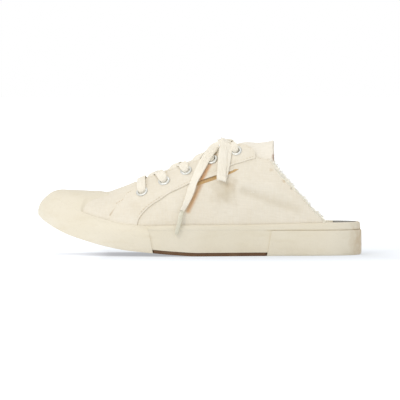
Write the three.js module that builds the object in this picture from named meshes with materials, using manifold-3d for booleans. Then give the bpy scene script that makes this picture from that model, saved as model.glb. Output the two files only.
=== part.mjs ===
// A low canvas sneaker cut off behind the instep, so that it slips on as a mule: a left shoe.
// Millimetres. +Z is up, the toe points to -X, the outer (lateral) side faces -Y, and the floor is z = 0.
// Every form comes from one last: sections worked out along the sole's outline, from the feather line
// at the sole's edge up to the ridge over the foot. Pieces are cut between larger and smaller lasts.
import * as THREE from "three";
import { mergeVertices } from "three/addons/utils/BufferGeometryUtils.js";
import Module from "manifold-3d";

const wasm = await Module();
wasm.setup();

// Driving dimensions: the whole shoe
const SOLE_LENGTH = 304; // toe tip to the back of the heel, a man's EU 42
const BALL_WIDTH = 104; // the sole across the ball
const RIM_HEIGHT = 31; // floor to the rim of the sole at the heel
const INSTEP_HEIGHT = 106; // floor to the ridge of the foot at the top eyelets
const CLEARANCE = 0.3; // between two pieces that touch

// Driving dimensions: sole
const OUTSOLE = 3; // thickness of the brown rubber plate
const FOXING = 2.7; // thickness of the rubber wrapped round toe and heel
const FOXING_ROUND = 4; // how high the rounding of its lower edge runs up the heel
const WALL_INSET = 1.1; // the waist's wall, in from the outline
const RIM_BAND = 0.8; // from the groove up to where the band stands out again
const GROOVE_HEIGHT = 23.6; // floor to the groove under the rim band
const FEATHER_INSET = 5.6; // from the sole's outline in to the last
const TREAD_DEPTH = 1.2;
const TREAD_WIDTH = 2.6;
const TREAD_PITCH = 11.5;
const TREAD_ZIGZAG = 5;
const INSOLE = 4.2; // thickness of the sock
const HEEL_PAD = 0.8; // thickness of the dark pad on the sock
const HEEL_PAD_LENGTH = 19;
const HEEL_PAD_MARGIN = 1.6;

// Driving dimensions: upper
const WALL = 1.8; // two plies of canvas
const TOE_CAP = 1.5; // thickness of the rubber toe cap
const EYESTAY = 1.1; // thickness of the eyelet panels
const TONGUE = 2.2;
const TONGUE_GAP = 0.4; // under the upper
const TOE_RAKE = 24; // how far behind the toe tip the ridge begins
const TOE_BLEND = 26; // over what length that lead fades
const HEEL_RAKE = 14;

// Driving dimensions: eyelets and laces
const EYELET_RADIUS = 5.6;
const EYELET_HOLE = 3.2;
const EYELET_WALL = 0.45;
const EYELET_CROWN = 0.9;
const LACE_WIDTH = 8.5;
const LACE_THICKNESS = 1.2;
const LACE_SPACE = 0.4; // between the lace and what it passes over
const AGLET_WIDTH = 4;
const AGLET_THICKNESS = 2.4;
const KNOT = { length: 14, width: 20, height: 4.6, shift: 1, rise: 1 };

// How finely the forms are divided
const STATIONS = 26; // from toe to heel on each side
const LIFTS = 7; // from the feather line to the ridge
const EYELET_SIDES = 12;
const FAR = 400; // past the shoe on every side

const GAP_FROM_LAST = WALL + CLEARANCE; // where what lies on the upper begins

// The sole's outline and the ridge, seen from above. along: share of SOLE_LENGTH from the toe.
// lateral, medial, ridge: shares of BALL_WIDTH, to the side of the line from heel to toe.
const PLAN = [
  { along: 0, lateral: 0.085, medial: 0.085, ridge: 0.085 },
  { along: 0.02, lateral: -0.08, medial: 0.235, ridge: 0.08 },
  { along: 0.05, lateral: -0.188, medial: 0.311, ridge: 0.075 },
  { along: 0.1, lateral: -0.295, medial: 0.377, ridge: 0.06 },
  { along: 0.16, lateral: -0.382, medial: 0.425, ridge: 0.045 },
  { along: 0.24, lateral: -0.457, medial: 0.46, ridge: 0.025 },
  { along: 0.31, lateral: -0.502, medial: 0.47, ridge: 0.01 },
  { along: 0.38, lateral: -0.526, medial: 0.448, ridge: -0.01 },
  { along: 0.46, lateral: -0.52, medial: 0.392, ridge: -0.03 },
  { along: 0.55, lateral: -0.484, medial: 0.335, ridge: -0.04 },
  { along: 0.65, lateral: -0.43, medial: 0.312, ridge: -0.035 },
  { along: 0.75, lateral: -0.386, medial: 0.322, ridge: -0.02 },
  { along: 0.85, lateral: -0.354, medial: 0.344, ridge: 0 },
  { along: 0.92, lateral: -0.312, medial: 0.322, ridge: 0.005 },
  { along: 0.97, lateral: -0.214, medial: 0.228, ridge: 0.005 },
  { along: 1, lateral: 0.005, medial: 0.005, ridge: 0.005 },
];

// The sole seen from the side. floor: its underside, with the toe spring. core: from there up to the board
// that the foot stands on. Both are shares of RIM_HEIGHT.
const SOLE_SIDE = [
  { along: 0, floor: 1.18, core: 0.19 },
  { along: 0.018, floor: 1.03, core: 0.19 },
  { along: 0.057, floor: 0.8, core: 0.21 },
  { along: 0.096, floor: 0.626, core: 0.23 },
  { along: 0.155, floor: 0.44, core: 0.25 },
  { along: 0.214, floor: 0.288, core: 0.27 },
  { along: 0.27, floor: 0.186, core: 0.285 },
  { along: 0.354, floor: 0.1, core: 0.31 },
  { along: 0.42, floor: 0.042, core: 0.34 },
  { along: 0.5, floor: 0, core: 0.39 },
  { along: 0.62, floor: 0, core: 0.55 },
  { along: 0.75, floor: 0, core: 0.71 },
  { along: 0.87, floor: 0, core: 0.81 },
  { along: 1, floor: 0, core: 0.83 },
];

// The upper edge of the sole, which climbs over the toe. height: share of RIM_HEIGHT.
const RIM = [
  { along: 0, height: 1.85 },
  { along: 0.04, height: 1.77 },
  { along: 0.071, height: 1.62 },
  { along: 0.102, height: 1.465 },
  { along: 0.132, height: 1.325 },
  { along: 0.163, height: 1.226 },
  { along: 0.206, height: 1.113 },
  { along: 0.24, height: 1.03 },
  { along: 0.278, height: 0.968 },
  { along: 0.317, height: 0.93 },
  { along: 0.348, height: 0.915 },
  { along: 0.444, height: 0.938 },
  { along: 0.6, height: 0.945 },
  { along: 0.776, height: 0.971 },
  { along: 0.888, height: 0.995 },
  { along: 1, height: 1 },
];

// The last. height: the ridge, as a share of INSTEP_HEIGHT. side: how far a section goes straight up,
// and crown: how far it runs flat from the ridge, as shares of the section's height and half width.
const LAST = [
  { along: 0.079, height: 0.54, side: 0.6, crown: 0.62 },
  { along: 0.135, height: 0.534, side: 0.6, crown: 0.62 },
  { along: 0.174, height: 0.529, side: 0.58, crown: 0.6 },
  { along: 0.204, height: 0.529, side: 0.57, crown: 0.56 },
  { along: 0.22, height: 0.538, side: 0.57, crown: 0.54 },
  { along: 0.245, height: 0.563, side: 0.57, crown: 0.52 },
  { along: 0.273, height: 0.592, side: 0.57, crown: 0.5 },
  { along: 0.3, height: 0.624, side: 0.57, crown: 0.47 },
  { along: 0.336, height: 0.676, side: 0.57, crown: 0.42 },
  { along: 0.368, height: 0.72, side: 0.57, crown: 0.39 },
  { along: 0.415, height: 0.773, side: 0.57, crown: 0.37 },
  { along: 0.464, height: 0.828, side: 0.56, crown: 0.36 },
  { along: 0.503, height: 0.872, side: 0.55, crown: 0.36 },
  { along: 0.56, height: 0.935, side: 0.54, crown: 0.4 },
  { along: 0.615, height: 0.985, side: 0.53, crown: 0.46 },
  { along: 0.645, height: 1, side: 0.53, crown: 0.5 },
  { along: 0.678, height: 0.995, side: 0.53, crown: 0.53 },
  { along: 0.705, height: 1.001, side: 0.53, crown: 0.55 },
  { along: 0.73, height: 1.014, side: 0.53, crown: 0.56 },
  { along: 1, height: 1.02, side: 0.53, crown: 0.56 },
];

// Edges seen from the side. along: share of SOLE_LENGTH, height: share of INSTEP_HEIGHT.
const EYESTAY_FRONT = [
  { along: 0.216, height: 0.25 },
  { along: 0.228, height: 0.355 },
  { along: 0.249, height: 0.469 },
  { along: 0.274, height: 0.557 },
  { along: 0.298, height: 0.6 },
  { along: 0.31, height: 0.66 },
  { along: 0.31, height: 1.3 },
];
const EYESTAY_END = [
  { along: 0.6, height: 1.3 },
  { along: 0.62, height: 0.99 },
  { along: 0.6365, height: 0.981 },
  { along: 0.654, height: 0.963 },
  { along: 0.667, height: 0.93 },
  { along: 0.675, height: 0.885 },
  { along: 0.674, height: 0.862 },
];
const EYESTAY_BACK = [
  { along: 0.603, height: 0.802 },
  { along: 0.551, height: 0.745 },
  { along: 0.508, height: 0.692 },
  { along: 0.464, height: 0.633 },
  { along: 0.409, height: 0.555 },
  { along: 0.378, height: 0.5 },
  { along: 0.348, height: 0.442 },
  { along: 0.326, height: 0.381 },
  { along: 0.312, height: 0.319 },
  { along: 0.306, height: 0.25 },
];
const COLLAR = [
  { along: 0.6, height: 1.3 },
  { along: 0.62, height: 0.99 },
  { along: 0.6365, height: 0.981 },
  { along: 0.654, height: 0.963 },
  { along: 0.667, height: 0.93 },
  { along: 0.676, height: 0.885 },
  { along: 0.68, height: 0.863 },
  { along: 0.705, height: 0.85 },
  { along: 0.716, height: 0.832 },
  { along: 0.722, height: 0.81 },
  { along: 0.742, height: 0.727 },
  { along: 0.766, height: 0.657 },
  { along: 0.788, height: 0.591 },
  { along: 0.82, height: 0.488 },
  { along: 0.847, height: 0.397 },
  { along: 0.868, height: 0.342 },
  { along: 0.88, height: 0.297 },
  { along: 0.884, height: 0.1 },
];
const CAP_BACK = [
  { along: 0.13, height: 0.3 },
  { along: 0.145, height: 0.42 },
  { along: 0.18, height: 0.5 },
  { along: 0.212, height: 0.53 },
  { along: 0.222, height: 0.56 },
  { along: 0.226, height: 0.7 },
];
const EYELETS = [
  { along: 0.324, height: 0.563 },
  { along: 0.393, height: 0.658 },
  { along: 0.4615, height: 0.748 },
  { along: 0.541, height: 0.846 },
  { along: 0.615, height: 0.921 },
];
// The middle lines of the laces that hang from the knot. out: how far they stand off the eyelet panel,
// a share of LACE_WIDTH.
const LACE_END = [
  { along: 0.55, height: 0.965, out: 0.46 },
  { along: 0.538, height: 0.92, out: 0.46 },
  { along: 0.524, height: 0.87, out: 0.44 },
  { along: 0.503, height: 0.79, out: 0.26 },
  { along: 0.483, height: 0.69, out: 0.1 },
  { along: 0.462, height: 0.575, out: 0.1 },
  { along: 0.45, height: 0.49, out: 0.12 },
  { along: 0.44, height: 0.4, out: 0.18 },
];
const AGLET = [
  { along: 0.4397, height: 0.396, out: 0.19 },
  { along: 0.435, height: 0.3, out: 0.3 },
  { along: 0.429, height: 0.2, out: 0.3 },
];
const LACE_LOOP = [
  { along: 0.583, height: 0.985, out: 0.5 },
  { along: 0.574, height: 0.93, out: 0.4 },
  { along: 0.57, height: 0.86, out: 0.3 },
  { along: 0.567, height: 0.77, out: 0.2 },
  { along: 0.57, height: 0.695, out: 0.2 },
  { along: 0.577, height: 0.66, out: 0.32 },
  { along: 0.584, height: 0.67, out: 0.46 },
  { along: 0.586, height: 0.71, out: 0.46 },
  { along: 0.587, height: 0.78, out: 0.46 },
  { along: 0.587, height: 0.86, out: 0.56 },
  { along: 0.586, height: 0.93, out: 0.66 },
  { along: 0.584, height: 0.99, out: 0.74 },
];
// Where the wrapped rubber of toe and heel ends against the waist, at the floor and at the rim.
const TOE_JOINT = { floor: 0.357, rim: 0.341 };
const HEEL_JOINT = { floor: 0.706, rim: 0.7245 };

// Widths seen from above, to each side of the ridge, as shares of BALL_WIDTH.
const THROAT = [
  { along: 0.3, half: 0 },
  { along: 0.302, half: 0.05 },
  { along: 0.309, half: 0.095 },
  { along: 0.324, half: 0.125 },
  { along: 0.36, half: 0.137 },
  { along: 0.46, half: 0.133 },
  { along: 0.54, half: 0.118 },
  { along: 0.62, half: 0.1 },
  { along: 0.75, half: 0.1 },
];
const TONGUE_PLAN = [
  { along: 0.27, half: 0.15 },
  { along: 0.3, half: 0.21 },
  { along: 0.4, half: 0.25 },
  { along: 0.55, half: 0.27 },
  { along: 0.66, half: 0.3 },
  { along: 0.727, half: 0.31 },
];

// Interpolation

/** A smooth function through a table's rows that never overshoots them. */
function through(table, column) {
  const at = table.map((row) => row.along);
  const value = table.map((row) => row[column]);
  const slope = at.slice(1).map((a, i) => (value[i + 1] - value[i]) / (a - at[i]));
  const tangent = at.map((_, i) => {
    const before = slope[i - 1] ?? slope[i];
    const after = slope[i] ?? slope[i - 1];
    return before * after <= 0 ? 0 : (2 * before * after) / (before + after);
  });
  return (along) => {
    if (along <= at[0]) return value[0];
    if (along >= at.at(-1)) return value.at(-1);
    const i = at.findIndex((a) => a > along) - 1;
    return hermite(at[i], at[i + 1], value[i], value[i + 1], tangent[i], tangent[i + 1], along);
  };
}

function hermite(a, b, va, vb, ta, tb, x) {
  const h = b - a;
  const s = (x - a) / h;
  const s2 = s * s;
  const s3 = s2 * s;
  return (2 * s3 - 3 * s2 + 1) * va + (s3 - 2 * s2 + s) * h * ta
    + (3 * s2 - 2 * s3) * vb + (s3 - s2) * h * tb;
}

/** A smooth closed function of the angle round the outline: toe at 0, lateral side, heel at pi, medial side. */
function round(lateral, medial) {
  const turn = 2 * Math.PI;
  const angles = PLAN.map((row) => Math.acos(1 - 2 * row.along));
  const knots = angles.map((angle, i) => [angle, PLAN[i][lateral]]);
  for (let i = PLAN.length - 2; i > 0; i--) knots.push([turn - angles[i], PLAN[i][medial]]);
  const count = knots.length;
  const knot = (i) => {
    const [angle, value] = knots[((i % count) + count) % count];
    return [angle + turn * Math.floor(i / count), value];
  };
  const tangent = (i) => {
    const [[a, va], [b, vb], [c, vc]] = [knot(i - 1), knot(i), knot(i + 1)];
    return (((vb - va) / (b - a)) * (c - b) + ((vc - vb) / (c - b)) * (b - a)) / (c - a);
  };
  return (angle) => {
    const wrapped = ((angle % turn) + turn) % turn;
    const after = knots.findIndex(([at]) => at > wrapped);
    const i = (after < 0 ? count : after) - 1;
    const [[a, va], [b, vb]] = [knot(i), knot(i + 1)];
    return hermite(a, b, va, vb, tangent(i), tangent(i + 1), wrapped);
  };
}

const outlineSide = round("lateral", "medial");
const ridgeSide = through(PLAN, "ridge");
const floorShare = through(SOLE_SIDE, "floor");
const coreShare = through(SOLE_SIDE, "core");
const rimShare = through(RIM, "height");
const ridgeShare = through(LAST, "height");
const sideShare = through(LAST, "side");
const crownShare = through(LAST, "crown");
const throatShare = through(THROAT, "half");
const tongueShare = through(TONGUE_PLAN, "half");

// The sides are measured from the middle of the sole's width.
const angles = Array.from({ length: 2 * STATIONS }, (_, k) => (Math.PI * k) / STATIONS);
const sides = angles.map((angle) => outlineSide(angle) * BALL_WIDTH);
const middle = (Math.max(...sides) + Math.min(...sides)) / 2;

const xAt = (along) => (along - 0.5) * SOLE_LENGTH;
const alongAt = (x) => x / SOLE_LENGTH + 0.5;
const floorAt = (x) => floorShare(alongAt(x)) * RIM_HEIGHT;
const boardAt = (x) => floorAt(x) + coreShare(alongAt(x)) * RIM_HEIGHT;
const rimAt = (x) => rimShare(alongAt(x)) * RIM_HEIGHT;
const ridgeYAt = (x) => ridgeSide(alongAt(x)) * BALL_WIDTH - middle;
const ridgeZAt = (x) => ridgeShare(alongAt(x)) * INSTEP_HEIGHT;

// The groove under the rim band, level at the heel and a fixed share up where the sole is thinner.
const GROOVE_SHARE = 0.81;
const grooveAt = (x) => Math.min(GROOVE_HEIGHT, floorAt(x) + GROOVE_SHARE * (rimAt(x) - floorAt(x)));

/** A point of the sole's outline, moved in by inset. */
function outline(angle, inset = 0) {
  const step = 1e-4;
  const at = (a) => [xAt((1 - Math.cos(a)) / 2), outlineSide(a) * BALL_WIDTH - middle];
  const [x, y] = at(angle);
  const [x0, y0] = at(angle - step);
  const [x1, y1] = at(angle + step);
  const length = Math.hypot(x1 - x0, y1 - y0);
  return [x - ((y1 - y0) / length) * inset, y + ((x1 - x0) / length) * inset];
}

/** A point of the last: a Bezier section from the feather line, at lift 0, up to the ridge, at lift 1. */
function lastPoint(angle, lift) {
  const [ex, ey] = outline(angle, FEATHER_INSET);
  const from = ((1 - Math.cos(angle)) / 2) * SOLE_LENGTH;
  const lead = TOE_RAKE * Math.exp(-from / TOE_BLEND)
    - HEEL_RAKE * Math.exp(-(SOLE_LENGTH - from) / TOE_BLEND);
  const rx = from + lead - SOLE_LENGTH / 2;
  const along = alongAt(rx);
  const [ry, rz, ez] = [ridgeYAt(rx), ridgeZAt(rx), boardAt(ex)];
  const [side, crown] = [sideShare(along), crownShare(along)];
  const rest = 1 - lift;
  const [b0, b1, b2, b3] = [rest ** 3, 3 * rest * rest * lift, 3 * rest * lift * lift, lift ** 3];
  const inward = b2 * (1 - crown) + b3;
  return new THREE.Vector3(
    ex + (rx - ex) * inward,
    ey + (ry - ey) * inward,
    ez + (rz - ez) * (b1 * side + b2 + b3),
  );
}

/** The last's outward normal there. */
function lastNormal(angle, lift) {
  const turn = 0.01;
  if (lift > 0.999) {
    const p = lastPoint(angle, 1);
    const rise = (ridgeZAt(p.x + 1) - ridgeZAt(p.x - 1)) / 2;
    return new THREE.Vector3(-rise, 0, 1).normalize();
  }
  const round = lastPoint(angle + turn, lift).sub(lastPoint(angle - turn, lift));
  const up = lastPoint(angle, Math.min(lift + turn, 1)).sub(lastPoint(angle, Math.max(lift - turn, 0)));
  return round.cross(up).normalize();
}

/** The point of the last, swollen by offset, that is seen from the side at x and z; side is -1 or 1. */
function onLast(x, z, side, offset) {
  const base = Math.acos(1 - 2 * alongAt(x));
  const angle = side < 0 ? base : 2 * Math.PI - base;
  let [low, high] = [0, 1];
  for (let i = 0; i < 30; i++) {
    const lift = (low + high) / 2;
    const at = lastPoint(angle, lift).addScaledVector(lastNormal(angle, lift), offset);
    if (at.z < z) low = lift;
    else high = lift;
  }
  const normal = lastNormal(angle, low);
  return { point: lastPoint(angle, low).addScaledVector(normal, offset), normal, angle, lift: low };
}

/** The swollen last at a distance to the side of the ridge, seen from above; lateral is negative. */
function besideRidge(x, distance, offset) {
  const base = Math.acos(1 - 2 * alongAt(x));
  const angle = distance < 0 ? base : 2 * Math.PI - base;
  let [low, high] = [0.3, 1];
  for (let i = 0; i < 30; i++) {
    const lift = (low + high) / 2;
    if (Math.abs(lastPoint(angle, lift).y - ridgeYAt(x)) > Math.abs(distance)) low = lift;
    else high = lift;
  }
  const normal = lastNormal(angle, low);
  return { point: lastPoint(angle, low).addScaledVector(normal, offset), normal };
}

// Solids

/** A solid of a triangle list. */
function solid(vertices, triangles) {
  return new wasm.Manifold(new wasm.Mesh({
    numProp: 3,
    vertProperties: new Float32Array(vertices.flat()),
    triVerts: new Uint32Array(triangles.flat()),
  }));
}

/** A three.js geometry as a solid. */
function solidOf(geometry) {
  const bare = new THREE.BufferGeometry().setAttribute("position", geometry.getAttribute("position"));
  if (geometry.index) bare.setIndex(geometry.index);
  const merged = mergeVertices(bare, 1e-3);
  return new wasm.Manifold(new wasm.Mesh({
    numProp: 3,
    vertProperties: merged.attributes.position.array,
    triVerts: new Uint32Array(merged.index.array),
  }));
}

/** A solid of rows of points, each row once round from toe over lateral side, heel and medial side.
 *  zipped: the last row runs along the ridge, where the two sides share their points. */
function stack(rows, zipped) {
  const ring = 2 * STATIONS;
  const vertices = rows.flat();
  const top = rows.length - 1;
  const index = (row, k) => {
    const place = ((k % ring) + ring) % ring;
    return row * ring + (zipped && row === top && place > STATIONS ? ring - place : place);
  };
  const triangles = [];
  for (let row = 0; row < top; row++) {
    for (let k = 0; k < ring; k++) {
      const [a, b, c, d] = [index(row, k), index(row, k + 1), index(row + 1, k + 1), index(row + 1, k)];
      triangles.push([a, b, c], [a, c, d]);
    }
  }
  const cap = (row, flip) => {
    for (let k = 0; k < STATIONS; k++) {
      const [a, b, c, d] = [index(row, k), index(row, k + 1), index(row, ring - k - 1), index(row, ring - k)];
      if (b !== c) triangles.push(flip ? [a, c, b] : [a, b, c]);
      if (a !== d) triangles.push(flip ? [a, d, c] : [a, c, d]);
    }
  };
  cap(0, true);
  if (!zipped) cap(top, false);
  return solid(vertices, triangles);
}

/** The last swollen by offset, a number or a function of x, z and the board's height there.
 *  bottom: the height of its underside as a function of x. */
function last(offset, bottom) {
  const rows = [];
  for (let j = 0; j <= LIFTS; j++) {
    rows.push(angles.map((angle) => {
      const p = lastPoint(angle, j / LIFTS);
      const swell = typeof offset === "number" ? offset : offset(p.x, p.z);
      const q = p.clone().addScaledVector(lastNormal(angle, j / LIFTS), swell);
      return [q.x, q.y, j === 0 ? bottom(q.x) : q.z];
    }));
  }
  return stack(rows, true);
}

/** A body of the sole from steps, each an inset from the outline and a height as a function of x. */
function soleBody(steps) {
  return stack(steps.map(({ inset, z }) => angles.map((angle) => {
    const [x, y] = outline(angle, inset);
    return [x, y, z(x)];
  })), false);
}

/** A prism right across the shoe whose outline is seen from the side. */
function sidePrism(corners, from = -FAR, to = FAR) {
  const shape = new THREE.Shape(corners.map(([x, z]) => new THREE.Vector2(x, z)));
  const geometry = new THREE.ExtrudeGeometry(shape, { depth: to - from, bevelEnabled: false });
  geometry.rotateX(Math.PI / 2).translate(0, to, 0);
  return solidOf(geometry);
}

/** A prism right through the shoe whose outline is seen from above. */
function planPrism(corners, bottom, top) {
  const shape = new THREE.Shape(corners.map(([x, y]) => new THREE.Vector2(x, y)));
  const geometry = new THREE.ExtrudeGeometry(shape, { depth: top - bottom, bevelEnabled: false });
  return solidOf(geometry.translate(0, 0, bottom));
}

const corner = (row) => [xAt(row.along), row.height * INSTEP_HEIGHT];

/** What lies to the toe's side of a joint of the wrapped rubber, moved towards the heel by shift. */
function toeSideOf(joint, shift) {
  const lean = (joint.rim - joint.floor) * SOLE_LENGTH;
  const foot = xAt(joint.floor) + shift;
  return sidePrism([[-FAR, -RIM_HEIGHT], [foot - lean, -RIM_HEIGHT], [foot + 2 * lean, 2 * RIM_HEIGHT],
    [foot + 2 * lean, FAR], [-FAR, FAR]]);
}

/** What lies above the rim line, raised by lift. */
function aboveRim(lift) {
  const line = RIM.map((row) => [xAt(row.along), row.height * RIM_HEIGHT + lift]);
  return sidePrism([[-FAR, line[0][1]], ...line, [FAR, line.at(-1)[1]], [FAR, FAR], [-FAR, FAR]]);
}

/** A strip to each side of the ridge, seen from above. */
function ridgeStrip(rows, width) {
  const half = through(rows, "half");
  const steps = 16;
  const first = rows[0].along;
  const span = rows.at(-1).along - first;
  const alongs = rows.map((row) => row.along);
  for (let i = 1; i < steps; i++) alongs.push(first + (span * i) / steps);
  alongs.sort((a, b) => a - b);
  const kept = alongs.filter((a, i) => i === 0 || a - alongs[i - 1] > 1e-4);
  const edge = (sign) => kept.map((a) => [xAt(a), ridgeYAt(xAt(a)) + sign * (half(a) * BALL_WIDTH + width)]);
  return planPrism([...edge(-1), ...edge(1).reverse()], -FAR, FAR);
}

// Sole

const plateTop = (x) => floorAt(x) + OUTSOLE;
const below = () => -RIM_HEIGHT;
const above = () => 3 * RIM_HEIGHT;

/** The brown plate, flush at the waist and inside the wrapped rubber elsewhere, with a zigzag tread. */
function outsole() {
  const plate = (inset) => soleBody([
    { inset: inset + 0.4, z: floorAt },
    { inset, z: (x) => floorAt(x) + 0.5 },
    { inset, z: plateTop },
  ]);
  const waist = plate(0.8)
    .subtract(toeSideOf(TOE_JOINT, CLEARANCE))
    .intersect(toeSideOf(HEEL_JOINT, -CLEARANCE));
  let piece = plate(FOXING + CLEARANCE).add(waist);
  const bands = [{ from: 0.1, to: 0.46 }, { from: 0.75, to: 0.95 }];
  for (const { from, to } of bands) {
    const count = Math.floor(((to - from) * SOLE_LENGTH) / TREAD_PITCH);
    for (let i = 0; i < count; i++) piece = piece.subtract(treadGroove(xAt(from) + i * TREAD_PITCH));
  }
  return piece;
}

/** A zigzag groove right across the sole. */
function treadGroove(x) {
  const turns = 4;
  const edge = (shift) => Array.from({ length: turns + 1 }, (_, i) => [
    x + shift + (i % 2 ? TREAD_ZIGZAG : 0),
    (i / turns - 0.5) * 1.2 * BALL_WIDTH,
  ]);
  return planPrism([...edge(-TREAD_WIDTH / 2).reverse(), ...edge(TREAD_WIDTH / 2)],
    -RIM_HEIGHT, floorAt(x + TREAD_ZIGZAG / 2) + TREAD_DEPTH);
}

/** The cream body of the sole: its wall and rim band show at the waist, and the upper stands in it. */
function midsole() {
  const base = (x) => plateTop(x) + CLEARANCE;
  const wall = soleBody([
    { inset: 0.8 * WALL_INSET, z: base },
    { inset: WALL_INSET, z: (x) => base(x) + 2 * WALL_INSET },
    { inset: WALL_INSET, z: (x) => grooveAt(x) - RIM_BAND },
    { inset: WALL_INSET + 0.9 * RIM_BAND, z: grooveAt },
    { inset: 0.8 * WALL_INSET, z: (x) => grooveAt(x) + RIM_BAND },
    { inset: 1.2 * WALL_INSET, z: (x) => rimAt(x) - 2 * RIM_BAND },
    { inset: 1.8 * WALL_INSET, z: (x) => rimAt(x) - 0.6 * RIM_BAND },
    { inset: 2.6 * WALL_INSET, z: rimAt },
  ]);
  const core = soleBody([
    { inset: FOXING + CLEARANCE, z: base },
    { inset: FOXING + CLEARANCE, z: (x) => boardAt(x) - 0.01 },
  ]);
  const behindToe = wall.subtract(toeSideOf(TOE_JOINT, CLEARANCE / 2));
  const heelSide = toeSideOf(HEEL_JOINT, -CLEARANCE / 2);
  const wrapRoom = soleBody([
    { inset: -FOXING, z: below },
    { inset: -FOXING, z: (x) => grooveAt(x) + CLEARANCE },
  ]).subtract(soleBody([
    { inset: FOXING + CLEARANCE, z: () => 2 * below() },
    { inset: FOXING + CLEARANCE, z: above },
  ])).subtract(heelSide);
  return behindToe
    .subtract(wrapRoom)
    .add(core.intersect(toeSideOf(TOE_JOINT, 2)))
    .subtract(last(GAP_FROM_LAST, boardAt));
}

/** The thick rubber round the toe. Its face stands up from the sole's edge and closes on the upper. */
function toeFoxing() {
  const edge = GAP_FROM_LAST + TOE_CAP;
  const swell = (x, z) => {
    const up = THREE.MathUtils.clamp((z - boardAt(x)) / (rimAt(x) - boardAt(x)), 0, 1);
    const waistEdge = FEATHER_INSET - WALL_INSET;
    const atRim = THREE.MathUtils.lerp(edge, waistEdge, THREE.MathUtils.smoothstep(alongAt(x), 0.1, 0.3));
    return THREE.MathUtils.lerp(FEATHER_INSET, atRim, up ** 3);
  };
  const inside = soleBody([
    { inset: FOXING, z: () => 2 * below() },
    { inset: FOXING, z: (x) => boardAt(x) + CLEARANCE / 2 },
  ]);
  return last(swell, floorAt)
    .intersect(toeSideOf(TOE_JOINT, -CLEARANCE / 2))
    .subtract(aboveRim(0))
    .subtract(inside)
    .subtract(last(GAP_FROM_LAST, (x) => boardAt(x) - CLEARANCE / 2));
}

/** The rubber wrapped round the heel, up to the groove. */
function heelFoxing() {
  return soleBody([
    { inset: 0.55 * FOXING_ROUND, z: () => 0 },
    { inset: 0.2 * FOXING_ROUND, z: () => 0.15 * FOXING_ROUND },
    { inset: 0.03 * FOXING_ROUND, z: () => 0.55 * FOXING_ROUND },
    { inset: 0, z: () => FOXING_ROUND },
    { inset: 0, z: (x) => grooveAt(x) - FOXING_ROUND / 8 },
    { inset: FOXING_ROUND / 8, z: grooveAt },
  ])
    .subtract(toeSideOf(HEEL_JOINT, CLEARANCE / 2))
    .subtract(soleBody([
      { inset: FOXING, z: below },
      { inset: FOXING, z: above },
    ]));
}

const cavityFloor = (x) => boardAt(x) - RIM_HEIGHT / 4;
const sockTop = (x) => boardAt(x) + CLEARANCE + INSOLE;

/** The sock that the foot stands on: inside the upper, and out to the rim behind it. */
function insole() {
  const slab = (lift, top) => soleBody([
    { inset: 0, z: (x) => boardAt(x) + lift },
    { inset: 0, z: top },
  ]);
  const layer = slab(CLEARANCE, sockTop);
  const front = last(-CLEARANCE, cavityFloor).intersect(layer);
  const end = xAt(COLLAR.at(-1).along) + CLEARANCE;
  const back = last(WALL, cavityFloor)
    .intersect(layer)
    .intersect(sidePrism([[end, -FAR], [FAR, -FAR], [FAR, FAR], [end, FAR]]));
  return front.add(back);
}

/** The dark pad sewn on the back of the sock. */
function heelPad() {
  const front = SOLE_LENGTH / 2 - FEATHER_INSET - HEEL_PAD_LENGTH;
  const lift = (x) => sockTop(x) + CLEARANCE;
  return last(WALL - HEEL_PAD_MARGIN, boardAt)
    .intersect(soleBody([{ inset: 0, z: lift }, { inset: 0, z: (x) => lift(x) + HEEL_PAD }]))
    .intersect(sidePrism([[front, -FAR], [FAR, -FAR], [FAR, FAR], [front, FAR]]));
}

// Upper

/** The eyelets' places: as seen on the lateral side, and as far from the ridge on the medial side. */
const eyelets = [-1, 1].flatMap((side) => EYELETS.map((row, i) => {
  const offset = GAP_FROM_LAST + EYESTAY;
  const seen = onLast(xAt(row.along), row.height * INSTEP_HEIGHT, -1, offset);
  const reach = ridgeYAt(seen.point.x) - lastPoint(seen.angle, seen.lift).y;
  const place = besideRidge(xAt(row.along), side * reach, offset);
  return { name: `eyelet_${side < 0 ? "lateral" : "medial"}_${i + 1}`, side, reach, row: i, ...place };
}));

/** A turned piece, its axis along a normal through a point. */
function seated(geometry, { point, normal }) {
  const turn = new THREE.Quaternion().setFromUnitVectors(new THREE.Vector3(0, 1, 0), normal);
  return geometry.applyQuaternion(turn).translate(point.x, point.y, point.z);
}

/** The holes that the eyelets' barrels pass through. */
function eyeletHoles() {
  const radius = EYELET_HOLE + EYELET_WALL + CLEARANCE;
  return eyelets.map((place) => solidOf(seated(
    new THREE.CylinderGeometry(radius, radius, 4 * WALL + EYESTAY, EYELET_SIDES),
    place,
  )));
}

const throat = ridgeStrip(THROAT, 0);
const behindCollar = sidePrism([...COLLAR.map(corner), [FAR, 0.1 * INSTEP_HEIGHT], [FAR, FAR], [0, FAR]]);
const holes = eyeletHoles();
const without = (piece, cutters) => cutters.reduce((rest, cutter) => rest.subtract(cutter), piece);

/** The canvas: one hollow wall, open along the throat, behind the collar's cut and underneath. */
function upper() {
  const shell = last(WALL, (x) => boardAt(x) + CLEARANCE).subtract(last(0, cavityFloor));
  return without(shell, [throat, behindCollar, ...holes]);
}

/** A skin of that thickness over the upper, down to the sole's rim. */
function skin(thickness) {
  return last(GAP_FROM_LAST + thickness, (x) => boardAt(x) + 1)
    .subtract(last(GAP_FROM_LAST, (x) => boardAt(x) - 1))
    .intersect(aboveRim(CLEARANCE));
}

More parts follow.
